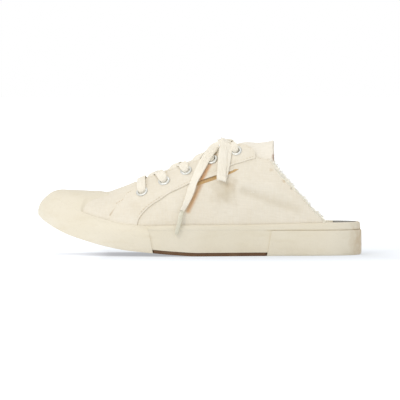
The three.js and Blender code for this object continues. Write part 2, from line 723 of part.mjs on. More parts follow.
/** The panel that holds one side's eyelets. */
function eyestay(side) {
  const half = side < 0 ? [[-FAR, -FAR], [FAR, -FAR], [FAR, 0], [-FAR, 0]] : [[-FAR, 0], [FAR, 0], [FAR, FAR], [-FAR, FAR]];
  const panel = sidePrism([...EYESTAY_FRONT, ...EYESTAY_END, ...EYESTAY_BACK].map(corner));
  return without(skin(EYESTAY).intersect(panel).intersect(planPrism(half, -FAR, FAR)), [throat, ...holes]);
}

/** The rubber cap over the toe. */
function toeCap() {
  const ahead = sidePrism([[-FAR, 0], ...CAP_BACK.map(corner), [xAt(CAP_BACK.at(-1).along), FAR], [-FAR, FAR]]);
  return skin(TOE_CAP).intersect(ahead);
}

/** The tongue, under the throat and out past the collar. */
function tongue() {
  const strip = ridgeStrip(TONGUE_PLAN, 0);
  const deep = TONGUE_GAP + TONGUE;
  return last(-TONGUE_GAP, boardAt).subtract(last(-deep, (x) => boardAt(x) - 1)).intersect(strip)
    .intersect(sidePrism([[-FAR, RIM_HEIGHT * 1.4], [FAR, RIM_HEIGHT * 1.4], [FAR, FAR], [-FAR, FAR]]));
}

/** A pressed metal eyelet: a domed flange on the panel and a barrel through it. */
function eyelet(place) {
  const barrel = EYELET_HOLE + EYELET_WALL;
  const profile = [
    [EYELET_HOLE, -WALL],
    [barrel, -WALL],
    [barrel, CLEARANCE],
    [EYELET_RADIUS, CLEARANCE],
    [EYELET_RADIUS - 0.8, CLEARANCE + EYELET_CROWN],
    [EYELET_HOLE + 0.3, CLEARANCE + EYELET_CROWN],
    [EYELET_HOLE, -WALL],
  ];
  const points = profile.map(([r, h]) => new THREE.Vector2(r, h));
  return solidOf(seated(new THREE.LatheGeometry(points, EYELET_SIDES), place));
}

// Laces

/** A flat lace along frames, each a point and the direction that its face looks. */
function ribbon(frames, width = LACE_WIDTH, thickness = LACE_THICKNESS) {
  const section = [[-0.5, 0], [-0.4, -0.5], [0.4, -0.5], [0.5, 0], [0.4, 0.5], [-0.4, 0.5]];
  const vertices = [];
  frames.forEach(({ point, normal }, i) => {
    const next = frames[Math.min(i + 1, frames.length - 1)].point;
    const along = next.clone().sub(frames[Math.max(i - 1, 0)].point).normalize();
    const across = normal.clone().cross(along).normalize();
    const face = along.clone().cross(across);
    for (const [a, b] of section) {
      const p = point.clone().addScaledVector(across, a * width).addScaledVector(face, b * thickness);
      vertices.push([p.x, p.y, p.z]);
    }
  });
  const count = section.length;
  const triangles = [];
  for (let i = 0; i + 1 < frames.length; i++) {
    for (let k = 0; k < count; k++) {
      const [a, b] = [i * count + k, i * count + ((k + 1) % count)];
      triangles.push([a, b, b + count], [a, b + count, a + count]);
    }
  }
  const end = (frames.length - 1) * count;
  for (let k = 1; k + 1 < count; k++) triangles.push([0, k + 1, k], [end, end + k, end + k + 1]);
  return solid(vertices, triangles);
}

const overTongue = LACE_SPACE - TONGUE_GAP + LACE_THICKNESS / 2;
const overPanel = GAP_FROM_LAST + EYESTAY + LACE_SPACE + LACE_THICKNESS / 2;
const overEyelet = overPanel + CLEARANCE + EYELET_CROWN;

/** A lace's height over the last, at a distance from the ridge: on the eyelet, the panel, then the tongue. */
function laceHeight(x, distance, reach) {
  const edge = throatShare(alongAt(x - LACE_WIDTH / 2)) * BALL_WIDTH;
  const { lerp, smoothstep } = THREE.MathUtils;
  const climbed = lerp(overTongue, overPanel, smoothstep(distance, 0.25 * edge, edge - 1));
  return lerp(climbed, overEyelet, smoothstep(distance, edge - 4, Math.max(edge - 1, reach - EYELET_RADIUS)));
}

/** A lace from an eyelet over the panel's edge and across the tongue, to where it dives at x. */
function crossing(place, x) {
  const steps = 7;
  const { reach } = place;
  const dive = throatShare(alongAt(x)) * BALL_WIDTH - LACE_WIDTH / 2 - 1;
  return ribbon(Array.from({ length: steps + 1 }, (_, i) => {
    const at = THREE.MathUtils.lerp(xAt(EYELETS[place.row].along), x, i / steps);
    const distance = THREE.MathUtils.lerp(reach, -dive, i / steps);
    return besideRidge(at, place.side * distance, laceHeight(at, distance, reach));
  }));
}

/** The bar between the two lowest eyelets. */
function lowestBar() {
  const [near, far] = [eyelets[0], eyelets[EYELETS.length]];
  const steps = 14;
  return ribbon(Array.from({ length: steps + 1 }, (_, i) => {
    const distance = THREE.MathUtils.lerp(-near.reach, far.reach, i / steps);
    return besideRidge(near.point.x, distance, laceHeight(near.point.x, Math.abs(distance), near.reach));
  }));
}

/** The frames of a lace that hangs down through a table's rows, against the shoe's side. */
function hanging(rows, side) {
  return rows.map((row) => {
    const [x, z] = corner(row);
    const { point, normal } = onLast(x, z, side, overPanel + row.out * LACE_WIDTH);
    const wall = outlineY(x, side) + side * (row.out * LACE_WIDTH + LACE_THICKNESS / 2);
    const y = z < 1.3 * RIM_HEIGHT && side * wall > side * point.y ? wall : point.y;
    return { point: new THREE.Vector3(x, y, z), normal };
  });
}

/** The sole's outline at x on a side. */
function outlineY(x, side) {
  const base = Math.acos(1 - 2 * alongAt(x));
  return outline(side < 0 ? base : 2 * Math.PI - base)[1];
}

const knotX = xAt(LACE_LOOP[0].along) + KNOT.shift;
const knotLift = overTongue + LACE_THICKNESS / 2 + KNOT.rise + KNOT.height / 2;
const knotCentre = new THREE.Vector3(knotX, ridgeYAt(knotX), ridgeZAt(knotX) + knotLift);

/** The knot on the tongue, over the top crossing. */
function knot() {
  const ball = new THREE.SphereGeometry(0.5, 10, 6)
    .rotateX(Math.PI / 2)
    .scale(KNOT.length, KNOT.width, KNOT.height);
  return solidOf(ball.translate(...knotCentre));
}

/** One loop of the bow, out of the side of the knot. */
function loop(side) {
  const out = new THREE.Vector3(0, side * (KNOT.width / 2 + 2 * CLEARANCE), 0);
  return ribbon([
    { point: knotCentre.clone().add(out), normal: new THREE.Vector3(0, 0, 1) },
    ...hanging(LACE_LOOP, side),
  ]);
}

// Assembly

const canvas = new THREE.MeshStandardMaterial({ color: "#ebe4d4", roughness: 0.95 });
const rubber = new THREE.MeshStandardMaterial({ color: "#e6dcc4", roughness: 0.55 });
const brown = new THREE.MeshStandardMaterial({ color: "#6b4a2b", roughness: 0.7 });
const sock = new THREE.MeshStandardMaterial({ color: "#e0dac8", roughness: 0.95 });
const dark = new THREE.MeshStandardMaterial({ color: "#5d5a52", roughness: 0.9 });
const nickel = new THREE.MeshStandardMaterial({ color: "#c9ccd0", roughness: 0.3, metalness: 1 });
const plastic = new THREE.MeshStandardMaterial({ color: "#ccc4a2", roughness: 0.3 });
const cotton = new THREE.MeshStandardMaterial({ color: "#f2ead9", roughness: 0.9 });

const shoe = new THREE.Group();

function put(name, made, material) {
  const { vertProperties, triVerts, numProp } = made.getMesh();
  const positions = new Float32Array((vertProperties.length / numProp) * 3);
  for (let i = 0; i < positions.length / 3; i++) {
    positions.set(vertProperties.subarray(i * numProp, i * numProp + 3), i * 3);
  }
  const geometry = new THREE.BufferGeometry()
    .setAttribute("position", new THREE.BufferAttribute(positions, 3))
    .setIndex(new THREE.BufferAttribute(triVerts, 1));
  geometry.computeVertexNormals();
  const mesh = new THREE.Mesh(geometry, material);
  mesh.name = name;
  shoe.add(mesh);
}

put("outsole", outsole(), brown);
put("midsole", midsole(), rubber);
put("toe_foxing", toeFoxing(), rubber);
put("heel_foxing", heelFoxing(), rubber);
put("insole", insole(), sock);
put("heel_pad", heelPad(), dark);
put("upper", upper(), canvas);
put("toe_cap", toeCap(), rubber);
put("eyestay_lateral", eyestay(-1), canvas);
put("eyestay_medial", eyestay(1), canvas);
put("tongue", tongue(), canvas);
for (const place of eyelets) put(place.name, eyelet(place), nickel);
put("lace_bar", lowestBar(), cotton);
for (let row = 1; row < EYELETS.length; row++) {
  const x = xAt(0.35 * EYELETS[row].along + 0.65 * EYELETS[row - 1].along);
  const [near, far] = [eyelets[row], eyelets[row + EYELETS.length]];
  put(`lace_cross_${row}`, crossing(near, x).add(crossing(far, x)), cotton);
}
put("lace_knot", knot(), cotton);
for (const [label, side] of [["lateral", -1], ["medial", 1]]) {
  put(`lace_loop_${label}`, loop(side), cotton);
  put(`lace_end_${label}`, ribbon(hanging(LACE_END, side)), cotton);
  put(`aglet_${label}`, ribbon(hanging(AGLET, side), AGLET_WIDTH, AGLET_THICKNESS), plastic);
}

// The origin is under the middle of the shoe's box, free laces apart.
const hangs = /^(lace_knot|lace_loop|lace_end|aglet)/;
const box = new THREE.Box3();
for (const mesh of shoe.children) if (!hangs.test(mesh.name)) box.expandByObject(mesh);
const centre = box.getCenter(new THREE.Vector3());
shoe.position.set(-centre.x, -centre.y, -box.min.z);

export default shoe;
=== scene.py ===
"""A laced canvas sneaker, cut off behind the instep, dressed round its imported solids.

The forms are worked out in millimetres from one last, as the solids are, and put into the meshes in metres.
+X is the heel, -Y the outer side, +Z up. An along is a share of the sole's length from the toe.
"""

import logging
import math
from dataclasses import dataclass, field
from enum import Enum
from typing import Any, Callable, Optional, Sequence

import bpy
import numpy as np
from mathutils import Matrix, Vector


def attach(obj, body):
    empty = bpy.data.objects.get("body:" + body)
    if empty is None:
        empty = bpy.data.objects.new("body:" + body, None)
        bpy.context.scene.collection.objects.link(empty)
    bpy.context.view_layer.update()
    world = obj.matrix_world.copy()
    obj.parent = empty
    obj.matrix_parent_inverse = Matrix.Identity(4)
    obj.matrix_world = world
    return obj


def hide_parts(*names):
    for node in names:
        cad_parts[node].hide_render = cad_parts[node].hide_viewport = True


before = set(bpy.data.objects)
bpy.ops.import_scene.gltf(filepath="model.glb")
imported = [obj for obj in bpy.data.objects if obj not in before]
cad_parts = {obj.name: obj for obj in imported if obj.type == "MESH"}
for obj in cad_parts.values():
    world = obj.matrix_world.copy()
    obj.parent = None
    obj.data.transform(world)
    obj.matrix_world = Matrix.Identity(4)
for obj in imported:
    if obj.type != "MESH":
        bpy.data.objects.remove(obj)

Array = np.ndarray
TURN = 2 * math.pi
MM = 0.001
SHIFT = np.array([0.0, -0.3994, 0.0])  # the solids are centred on their box by this much, in millimetres
WELD = 2e-3  # points nearer than this, in millimetres, are one
FAR = 1e3  # past the shoe on every side, in millimetres
LOG = logging.getLogger("sneaker")


class Side(Enum):
    """The two sides of a left shoe."""

    LATERAL = -1
    MEDIAL = 1

    @property
    def label(self) -> str:
        """The side's name in a piece's name."""
        return self.name.lower()


# Curves and the last


def hermite(start: Array, end: Array, left: Array, right: Array, slope: Array, last_slope: Array,
            x: Array) -> Array:
    """A cubic from (start, left) to (end, right) that leaves and arrives with the two slopes."""
    span = end - start
    s = (x - start) / span
    return ((2 * s**3 - 3 * s**2 + 1) * left + (s**3 - 2 * s**2 + s) * span * slope
            + (3 * s**2 - 2 * s**3) * right + (s**3 - s**2) * span * last_slope)


class Curve:
    """A smooth function through points that never overshoots them: harmonic means of the slopes."""

    def __init__(self, at: Sequence[float], value: Sequence[float]) -> None:
        """Takes the places and the values there."""
        self.at, self.value = np.array(at, float), np.array(value, float)
        slope = np.diff(self.value) / np.diff(self.at)
        before, after = np.r_[slope[:1], slope], np.r_[slope, slope[-1:]]
        product, total = before * after, before + after
        self.slope = np.where(product > 0, 2 * product / np.where(product > 0, total, 1), 0)

    def __call__(self, x: Any) -> Array:
        """The value at x, held level past both ends."""
        x = np.clip(x, self.at[0], self.at[-1])
        i = np.clip(np.searchsorted(self.at, x, "right") - 1, 0, len(self.at) - 2)
        return hermite(self.at[i], self.at[i + 1], self.value[i], self.value[i + 1],
                       self.slope[i], self.slope[i + 1], x)


class RoundCurve:
    """A smooth closed function of an angle, from 0 to a full turn."""

    def __init__(self, at: Array, value: Array) -> None:
        """Takes rising angles below a full turn and the values there."""
        a = np.r_[at[-1] - TURN, at, at[0] + TURN]
        v = np.r_[value[-1], value, value[0]]
        left, right = np.diff(v[:-1]) / np.diff(a[:-1]), np.diff(v[1:]) / np.diff(a[1:])
        slope = (left * np.diff(a[1:]) + right * np.diff(a[:-1])) / (a[2:] - a[:-2])
        self.at, self.value, self.slope = np.r_[at, TURN], np.r_[value, value[0]], np.r_[slope, slope[0]]

    def __call__(self, angle: Any) -> Array:
        """The value at an angle."""
        x = np.mod(angle, TURN)
        i = np.clip(np.searchsorted(self.at, x, "right") - 1, 0, len(self.at) - 2)
        return hermite(self.at[i], self.at[i + 1], self.value[i], self.value[i + 1],
                       self.slope[i], self.slope[i + 1], x)


def smooth(x: Any, low: float, high: float) -> Array:
    """A soft step from 0 at low to 1 at high."""
    s = np.clip((np.asarray(x, float) - low) / (high - low), 0, 1)
    return s * s * (3 - 2 * s)


def unit(v: Array) -> Array:
    """Vectors brought to length one."""
    return v / np.maximum(np.linalg.norm(v, axis=-1, keepdims=True), 1e-12)


def spline(points: Array, count: int) -> Array:
    """A smooth path through points, at even steps of its chord length."""
    at = np.r_[0, np.cumsum(np.linalg.norm(np.diff(points, axis=0), axis=1))]
    slope = np.gradient(points, at, axis=0)
    x = np.linspace(0, at[-1], count)
    i = np.clip(np.searchsorted(at, x, "right") - 1, 0, len(at) - 2)
    start, end = at[i][:, None], at[i + 1][:, None]
    return hermite(start, end, points[i], points[i + 1], slope[i], slope[i + 1], x[:, None])


PLAN = np.array([  # along, lateral, medial, ridge: shares of the ball's width from the heel-to-toe line
    [0, .085, .085, .085], [.02, -.08, .235, .08], [.05, -.188, .311, .075], [.1, -.295, .377, .06],
    [.16, -.382, .425, .045], [.24, -.457, .46, .025], [.31, -.502, .47, .01], [.38, -.526, .448, -.01],
    [.46, -.52, .392, -.03], [.55, -.484, .335, -.04], [.65, -.43, .312, -.035], [.75, -.386, .322, -.02],
    [.85, -.354, .344, 0], [.92, -.312, .322, .005], [.97, -.214, .228, .005], [1, .005, .005, .005]])
SOLE_SIDE = np.array([  # along, underside, and from there up to the board: shares of the rim's height
    [0, 1.18, .19], [.018, 1.03, .19], [.057, .8, .21], [.096, .626, .23], [.155, .44, .25],
    [.214, .288, .27], [.27, .186, .285], [.354, .1, .31], [.42, .042, .34], [.5, 0, .39], [.62, 0, .55],
    [.75, 0, .71], [.87, 0, .81], [1, 0, .83]])
RIM = np.array([  # along, the sole's upper edge: share of the rim's height
    [0, 1.85], [.04, 1.77], [.071, 1.62], [.102, 1.465], [.132, 1.325], [.163, 1.226], [.206, 1.113],
    [.24, 1.03], [.278, .968], [.317, .93], [.348, .915], [.444, .938], [.6, .945], [.776, .971],
    [.888, .995], [1, 1]])
LAST_ROWS = np.array([  # along, ridge, how far a section goes straight up and runs flat at the ridge
    [.079, .54, .6, .62], [.135, .534, .6, .62], [.174, .529, .58, .6], [.204, .529, .57, .56],
    [.22, .538, .57, .54], [.245, .563, .57, .52], [.273, .592, .57, .5], [.3, .624, .57, .47],
    [.336, .676, .57, .42], [.368, .72, .57, .39], [.415, .773, .57, .37], [.464, .828, .56, .36],
    [.503, .872, .55, .36], [.56, .935, .54, .4], [.615, .985, .53, .46], [.645, 1, .53, .5],
    [.678, .995, .53, .53], [.705, 1.001, .53, .55], [.73, 1.014, .53, .56], [1, 1.02, .53, .56]])


@dataclass
class Last:
    """The foot form: sections along the sole's outline, from the feather line up to the ridge."""

    length: float = 304.0
    ball: float = 104.0
    rim_height: float = 31.0
    instep: float = 106.0
    feather: float = 5.6  # from the sole's outline in to the last
    groove_height: float = 23.6
    groove_share: float = 0.81
    toe_rake: float = 24.0
    heel_rake: float = 14.0
    rake_fade: float = 26.0

    def __post_init__(self) -> None:
        """Makes the curves of the tables."""
        angle = np.arccos(1 - 2 * PLAN[:, 0])
        self.edge = RoundCurve(np.r_[angle, TURN - angle[-2:0:-1]], np.r_[PLAN[:, 1], PLAN[-2:0:-1, 2]])
        self.ridge_side = Curve(PLAN[:, 0], PLAN[:, 3])
        self.floor_share, self.core_share = (Curve(SOLE_SIDE[:, 0], SOLE_SIDE[:, i]) for i in (1, 2))
        self.rim_share = Curve(RIM[:, 0], RIM[:, 1])
        self.ridge_share, self.side_share, self.crown_share = (
            Curve(LAST_ROWS[:, 0], LAST_ROWS[:, i]) for i in (1, 2, 3))
        reach = self.edge(np.arange(52) * math.pi / 26) * self.ball
        self.middle = (reach.max() + reach.min()) / 2

    def x(self, along: Any) -> Array:
        """The place along the shoe of a share of its length."""
        return (np.asarray(along, float) - 0.5) * self.length

    def along(self, x: Any) -> Array:
        """The share of the length at x."""
        return np.asarray(x, float) / self.length + 0.5

    def angle(self, along: Any) -> Array:
        """The angle round the outline at a share of the length, 0 at the toe and pi at the heel."""
        return np.arccos(np.clip(1 - 2 * np.asarray(along, float), -1, 1))

    def floor(self, x: Any) -> Array:
        """The sole's underside."""
        return self.floor_share(self.along(x)) * self.rim_height

    def board(self, x: Any) -> Array:
        """The board that the foot stands on."""
        return self.floor(x) + self.core_share(self.along(x)) * self.rim_height

    def rim(self, x: Any) -> Array:
        """The sole's upper edge."""
        return self.rim_share(self.along(x)) * self.rim_height

    def groove(self, x: Any) -> Array:
        """The groove under the rim band."""
        return np.minimum(self.groove_height,
                          self.floor(x) + self.groove_share * (self.rim(x) - self.floor(x)))

    def ridge_y(self, x: Any) -> Array:
        """The ridge's place across."""
        return self.ridge_side(self.along(x)) * self.ball - self.middle

    def ridge_z(self, x: Any) -> Array:
        """The ridge's height."""
        return self.ridge_share(self.along(x)) * self.instep

    def outline(self, angle: Any, inset: Any = 0.0) -> Array:
        """Points of the sole's outline, moved in by inset along its normal, as (..., 2)."""
        def at(a: Array) -> Array:
            return np.stack([self.x((1 - np.cos(a)) / 2), self.edge(a) * self.ball - self.middle], -1)

        angle, inset = np.broadcast_arrays(np.asarray(angle, float), np.asarray(inset, float))
        run = unit(at(angle + 1e-4) - at(angle - 1e-4))
        return at(angle) + np.stack([-run[..., 1], run[..., 0]], -1) * inset[..., None]

    def point(self, angle: Any, lift: Any) -> Array:
        """Points of the last: a Bezier section from the feather line at lift 0 to the ridge at lift 1."""
        angle, lift = np.broadcast_arrays(np.asarray(angle, float), np.asarray(lift, float))
        foot = self.outline(angle, self.feather)
        start = (1 - np.cos(angle)) / 2 * self.length
        lead = (self.toe_rake * np.exp(-start / self.rake_fade)
                - self.heel_rake * np.exp(-(self.length - start) / self.rake_fade))
        ridge_x = start + lead - self.length / 2
        share = self.along(ridge_x)
        rest = 1 - lift
        b1, b2, b3 = 3 * rest * rest * lift, 3 * rest * lift * lift, lift**3
        inward = b2 * (1 - self.crown_share(share)) + b3
        board = self.board(foot[..., 0])
        return np.stack([
            foot[..., 0] + (ridge_x - foot[..., 0]) * inward,
            foot[..., 1] + (self.ridge_y(ridge_x) - foot[..., 1]) * inward,
            board + (self.ridge_z(ridge_x) - board) * (b1 * self.side_share(share) + b2 + b3)], -1)

    def normal(self, angle: Any, lift: Any) -> Array:
        """Outward normals there, by differences round and up the last."""
        angle, lift = np.broadcast_arrays(np.asarray(angle, float), np.asarray(lift, float))
        turn = 0.01
        around = self.point(angle + turn, lift) - self.point(angle - turn, lift)
        up = self.point(angle, np.minimum(lift + turn, 1)) - self.point(angle, np.maximum(lift - turn, 0))
        side = unit(np.cross(around, up))
        x = self.point(angle, np.ones_like(lift))[..., 0]
        rise = (self.ridge_z(x + 1) - self.ridge_z(x - 1)) / 2
        top = unit(np.stack([-rise, np.zeros_like(rise), np.ones_like(rise)], -1))
        return np.where((lift > 0.999)[..., None], top, side)

    def off(self, angle: Any, lift: Any, offset: Any) -> Array:
        """Points at an offset from the last."""
        offset = np.asarray(offset, float)
        return self.point(angle, lift) + self.normal(angle, lift) * offset[..., None]

    def _halve(self, too_low: Callable[[Array], Array], like: Array, low: float = 0.0) -> Array:
        """The lift at which too_low turns false, found by halving."""
        under, over = np.full(like.shape, low), np.ones(like.shape)
        for _ in range(28):
            lift = (under + over) / 2
            below = too_low(lift)
            under, over = np.where(below, lift, under), np.where(below, over, lift)
        return under

    def seen(self, x: Any, z: Any, side: Side, offset: Any, exact: bool = True) -> tuple[Array, Array]:
        """Angle and lift of the swollen last's point that is seen from the side at x and z.

        Args:
            x: Places along the shoe. z: Heights. side: Which side. offset: How far it is swollen.
            exact: Whether the station is corrected until the point itself lies at x.

        Returns:
            The angles and the lifts.
        """
        x, z = np.broadcast_arrays(np.asarray(x, float), np.asarray(z, float))
        station = x.copy()
        for turn in range(6 if exact else 1):
            angle = -side.value * self.angle(self.along(station))
            lift = self._halve(lambda s: self.off(angle, s, offset)[..., 2] < z, x)
            if exact:
                station = np.clip(station + x - self.off(angle, lift, offset)[..., 0],
                                  -self.length / 2, self.length / 2)
        return angle, lift

    def beside(self, x: Any, distance: Any) -> tuple[Array, Array]:
        """Angle and lift of the last at a distance to the side of the ridge, lateral when negative."""
        x, distance = np.broadcast_arrays(np.asarray(x, float), np.asarray(distance, float))
        angle = np.where(distance < 0, 1, -1) * self.angle(self.along(x))
        lift = self._halve(
            lambda s: np.abs(self.point(angle, s)[..., 1] - self.ridge_y(x)) > np.abs(distance), x, 0.3)
        return angle, lift


LAST = Last()

# Meshes


def grid_quads(rows: int, columns: int) -> Array:
    """The corners of every cell of a grid, row by row, turned one way."""
    i = np.arange(rows * columns).reshape(rows, columns)
    return np.stack([i[:-1, :-1], i[1:, :-1], i[1:, 1:], i[:-1, 1:]], -1).reshape(-1, 4)


class Shape:
    """Grids of points in millimetres, gathered into one mesh."""

    def __init__(self) -> None:
        """Starts empty."""
        self.points: list[Array] = []
        self.maps: list[Array] = []
        self.quads: list[Array] = []
        self.marks: list[Array] = []
        self.count = 0

    def put(self, points: Array, uv: Array, quads: Array, mark: int = 0, flip: bool = False) -> None:
        """Adds points, their UV in metres and cells of them, with a material's number."""
        self.points.append(points.reshape(-1, 3))
        self.maps.append(uv.reshape(-1, 2))
        quads = quads[:, ::-1] if flip else quads
        self.quads.append(quads + self.count)
        self.marks.append(np.full(len(quads), mark))
        self.count += len(self.points[-1])

    def grid(self, points: Array, uv: Optional[Array] = None, mark: int = 0, flip: bool = False,
             keep: Optional[Array] = None) -> None:
        """Adds a grid of points (rows, columns, 3). keep says which of its cells stay."""
        quads = grid_quads(*points.shape[:2])
        if keep is not None:
            quads = quads[keep.reshape(-1)]
        self.put(points, arc_uv(points) if uv is None else uv, quads, mark, flip)

    def thin(self, top: Array, bottom: Array, uv: Optional[Array] = None, keep: Optional[Array] = None,
             joined: Sequence[str] = (), marks: tuple[int, int] = (0, 0), flip: bool = False) -> None:
        """Adds a thin closed body between two grids.

        A cell of the top has its twin in the bottom, turned over. A wall stands where a kept cell ends.

        Args:
            top: The outer grid. bottom: The inner grid. uv: Their map. keep: Which cells stay.
            joined: Edges without a wall, of "first", "last" (rows) and "low", "high" (columns).
            marks: Material numbers of top and bottom. flip: Whether the whole body is turned over.
        """
        rows, columns = top.shape[:2]
        uv = arc_uv(top) if uv is None else uv
        kept = np.ones((rows - 1, columns - 1), bool) if keep is None else keep
        base = self.count
        self.grid(top, uv, marks[0], flip, kept)
        self.grid(bottom, uv, marks[1], not flip, kept)
        k = np.pad(kept, 1)
        for edge, place, source in (
                ("first", np.s_[0, 1:-1], kept[0]), ("last", np.s_[-1, 1:-1], kept[-1]),
                ("low", np.s_[1:-1, 0], kept[:, 0]), ("high", np.s_[1:-1, -1], kept[:, -1])):
            if edge in joined:
                k[place] = source
        i = np.arange(rows * columns).reshape(rows, columns) + base
        under = rows * columns
        walls = []
        for near, far, before, after in (
                (i[:-1], i[1:], k[1:-1, :-1], k[1:-1, 1:]),
                (i[:, 1:], i[:, :-1], k[:-1, 1:-1], k[1:, 1:-1])):
            for a, b, shown in ((near, far, before & ~after), (far, near, after & ~before)):
                walls.append(np.stack([a[shown], b[shown], b[shown] + under, a[shown] + under], -1))
        wall = np.concatenate(walls)
        wall = wall[:, ::-1] if flip else wall
        self.quads.append(wall)
        self.marks.append(np.full(len(wall), marks[0]))

    def build(self, name: str, materials: Sequence[bpy.types.Material], slot: str,
              replaces: Sequence[str] = (), sharp: float = 180.0) -> bpy.types.Object:
        """Makes the piece: points that meet are welded and the faces turned outwards.

        Args:
            name: The piece's name. materials: Its finishes, by mark. slot: The record's slot; not used.
            replaces: The CAD nodes that it stands for. sharp: Bends of more degrees than this stay sharp.

        Returns:
            The object, riding on the shoe.
        """
        points, quads = np.concatenate(self.points), np.concatenate(self.quads)
        marks = np.concatenate(self.marks)
        uv = np.concatenate(self.maps)[quads]
        _, first, place = np.unique(np.round(points / WELD).astype(np.int64), axis=0,
                                    return_index=True, return_inverse=True)
        points, quads = points[first], place.reshape(-1)[quads]
        same = quads == np.roll(quads, -1, axis=1)
        folded = (quads[:, 0] == quads[:, 2]) | (quads[:, 1] == quads[:, 3])
        four, three = (same.sum(1) == 0) & ~folded, (same.sum(1) == 1) & ~folded
        pick = np.sort(np.argsort(same[three], axis=1, kind="stable")[:, :3], axis=1)
        tris = np.take_along_axis(quads[three], pick, 1)
        tri_uv = np.take_along_axis(uv[three], pick[..., None], 1)
        corners = np.r_[quads[four].ravel(), tris.ravel()]
        sizes = np.r_[np.full(four.sum(), 4), np.full(three.sum(), 3)]
        corner_uv = np.r_[uv[four].reshape(-1, 2), tri_uv.reshape(-1, 2)]
        faces = np.r_[quads[four][:, :3], tris]
        a, b, c = (points[faces[:, n]] for n in range(3))
        d = points[np.r_[quads[four][:, 3], tris[:, 2]]]
        area = np.cross(b - a, c - a) + np.cross(c - a, d - a)
        volume = np.einsum("ij,ij->", area, (a + b + c + d) / 4 - points.mean(0))
        starts = np.r_[0, np.cumsum(sizes)[:-1]]
        if volume < 0:
            ends = np.repeat(starts + sizes - 1, sizes)
            order = ends - (np.arange(len(corners)) - np.repeat(starts, sizes))
            corners, corner_uv = corners[order], corner_uv[order]
        used, corners = np.unique(corners, return_inverse=True)
        mesh = bpy.data.meshes.new(name)
        mesh.vertices.add(len(used))
        mesh.vertices.foreach_set("co", ((points[used] + SHIFT) * MM).astype(np.float32).ravel())
        mesh.loops.add(len(corners))
        mesh.loops.foreach_set("vertex_index", corners.astype(np.int32).ravel())
        mesh.polygons.add(len(sizes))
        mesh.polygons.foreach_set("loop_start", starts.astype(np.int32))
        mesh.polygons.foreach_set("material_index", np.r_[marks[four], marks[three]].astype(np.int32))
        mesh.update(calc_edges=True)
        mesh.uv_layers.new(name="UVMap").data.foreach_set("uv", corner_uv.astype(np.float32).ravel())
        mesh.validate()
        mesh.shade_smooth()
        if sharp < 180:
            mesh.set_sharp_from_angle(angle=math.radians(sharp))
        for material in materials:
            mesh.materials.append(material)
        piece = bpy.data.objects.new(name, mesh)
        bpy.context.scene.collection.objects.link(piece)
        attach(piece, "root")
        if replaces:
            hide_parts(*replaces)
        LOG.info("%s: %d faces", name, len(sizes))
        return piece


def arc_uv(points: Array) -> Array:
    """A map in metres: arc length along the rows and along the columns, each from the middle line."""
    def arcs(axis: int) -> Array:
        steps = np.linalg.norm(np.diff(points, axis=axis), axis=2)
        return np.concatenate([np.zeros_like(np.take(steps, [0], axis)), np.cumsum(steps, axis)], axis)

    middle = points.shape[0] // 2
    return np.stack([np.broadcast_to(arcs(1)[middle], points.shape[:2]), arcs(0)], -1) * MM


def eased(count: int, edge: float = 0.035) -> Array:
    """Shares from 0 to 1 that crowd towards both ends, so that a rolled edge has points enough."""
    close = edge * np.array([0, 0.06, 0.16, 0.3, 0.5, 0.75])
    return np.r_[close, np.linspace(edge, 1 - edge, count), 1 - close[::-1]]


def edge_distance(points: Array, edges: Sequence[str]) -> Array:
    """How far each point of a grid is from the named edges, along the grid's lines, in millimetres."""
    far = np.full(points.shape[:2], FAR)
    for axis, start, end in ((0, "first", "last"), (1, "low", "high")):
        steps = np.linalg.norm(np.diff(points, axis=axis), axis=2)
        arc = np.concatenate([np.zeros_like(np.take(steps, [0], axis)), np.cumsum(steps, axis)], axis)
        if start in edges:
            far = np.minimum(far, arc)
        if end in edges:
            far = np.minimum(far, np.take(arc, [-1], axis) - arc)
    return far


def rolled(distance: Array, thickness: Any, radius: float) -> Array:
    """Half the thickness of a cloth whose edge is rolled: a quarter circle up from the edge."""
    return thickness / 2 * np.sqrt(1 - (1 - np.clip(distance / radius, 0, 1)) ** 2)


# Finishes


def linear(code: str) -> tuple[float, float, float, float]:
    """An sRGB hex value as linear colour."""
    value = np.array([int(code[i:i + 2], 16) / 255 for i in (0, 2, 4)])
    value = np.where(value <= 0.04045, value / 12.92, ((value + 0.055) / 1.055) ** 2.4)
    return (*(float(v) for v in value), 1.0)


def add(tree: bpy.types.NodeTree, kind: str, inputs: Optional[dict[Any, Any]] = None,
        **settings: Any) -> bpy.types.Node:
    """Adds a shader node. An input that is a socket is linked, and any other is set."""
    made = tree.nodes.new("ShaderNode" + kind)
    for name, value in settings.items():
        setattr(made, name, value)
    for name, value in (inputs or {}).items():
        if isinstance(value, bpy.types.NodeSocket):
            tree.links.new(value, made.inputs[name])
        else:
            made.inputs[name].default_value = value
    return made


def reckon(tree: bpy.types.NodeTree, operation: str, *values: Any, clamp: bool = False) -> Any:
    """One step of arithmetic on sockets and numbers."""
    return add(tree, "Math", dict(enumerate(values)), operation=operation, use_clamp=clamp).outputs[0]


def move(tree: bpy.types.NodeTree, operation: str, *values: Any) -> Any:
    """One step of arithmetic on vectors."""
    return add(tree, "VectorMath", dict(enumerate(values)), operation=operation).outputs[0]


def ramp(tree: bpy.types.NodeTree, value: Any, start: float, end: float, low: float = 0.0,
         high: float = 1.0, soft: bool = True) -> Any:
    """From low to high while the value goes from start to end, and level past both; soft eases it."""
    inputs = {"Value": value, "From Min": start, "From Max": end, "To Min": low, "To Max": high}
    return add(tree, "MapRange", inputs, interpolation_type="SMOOTHSTEP" if soft else "LINEAR").outputs[0]


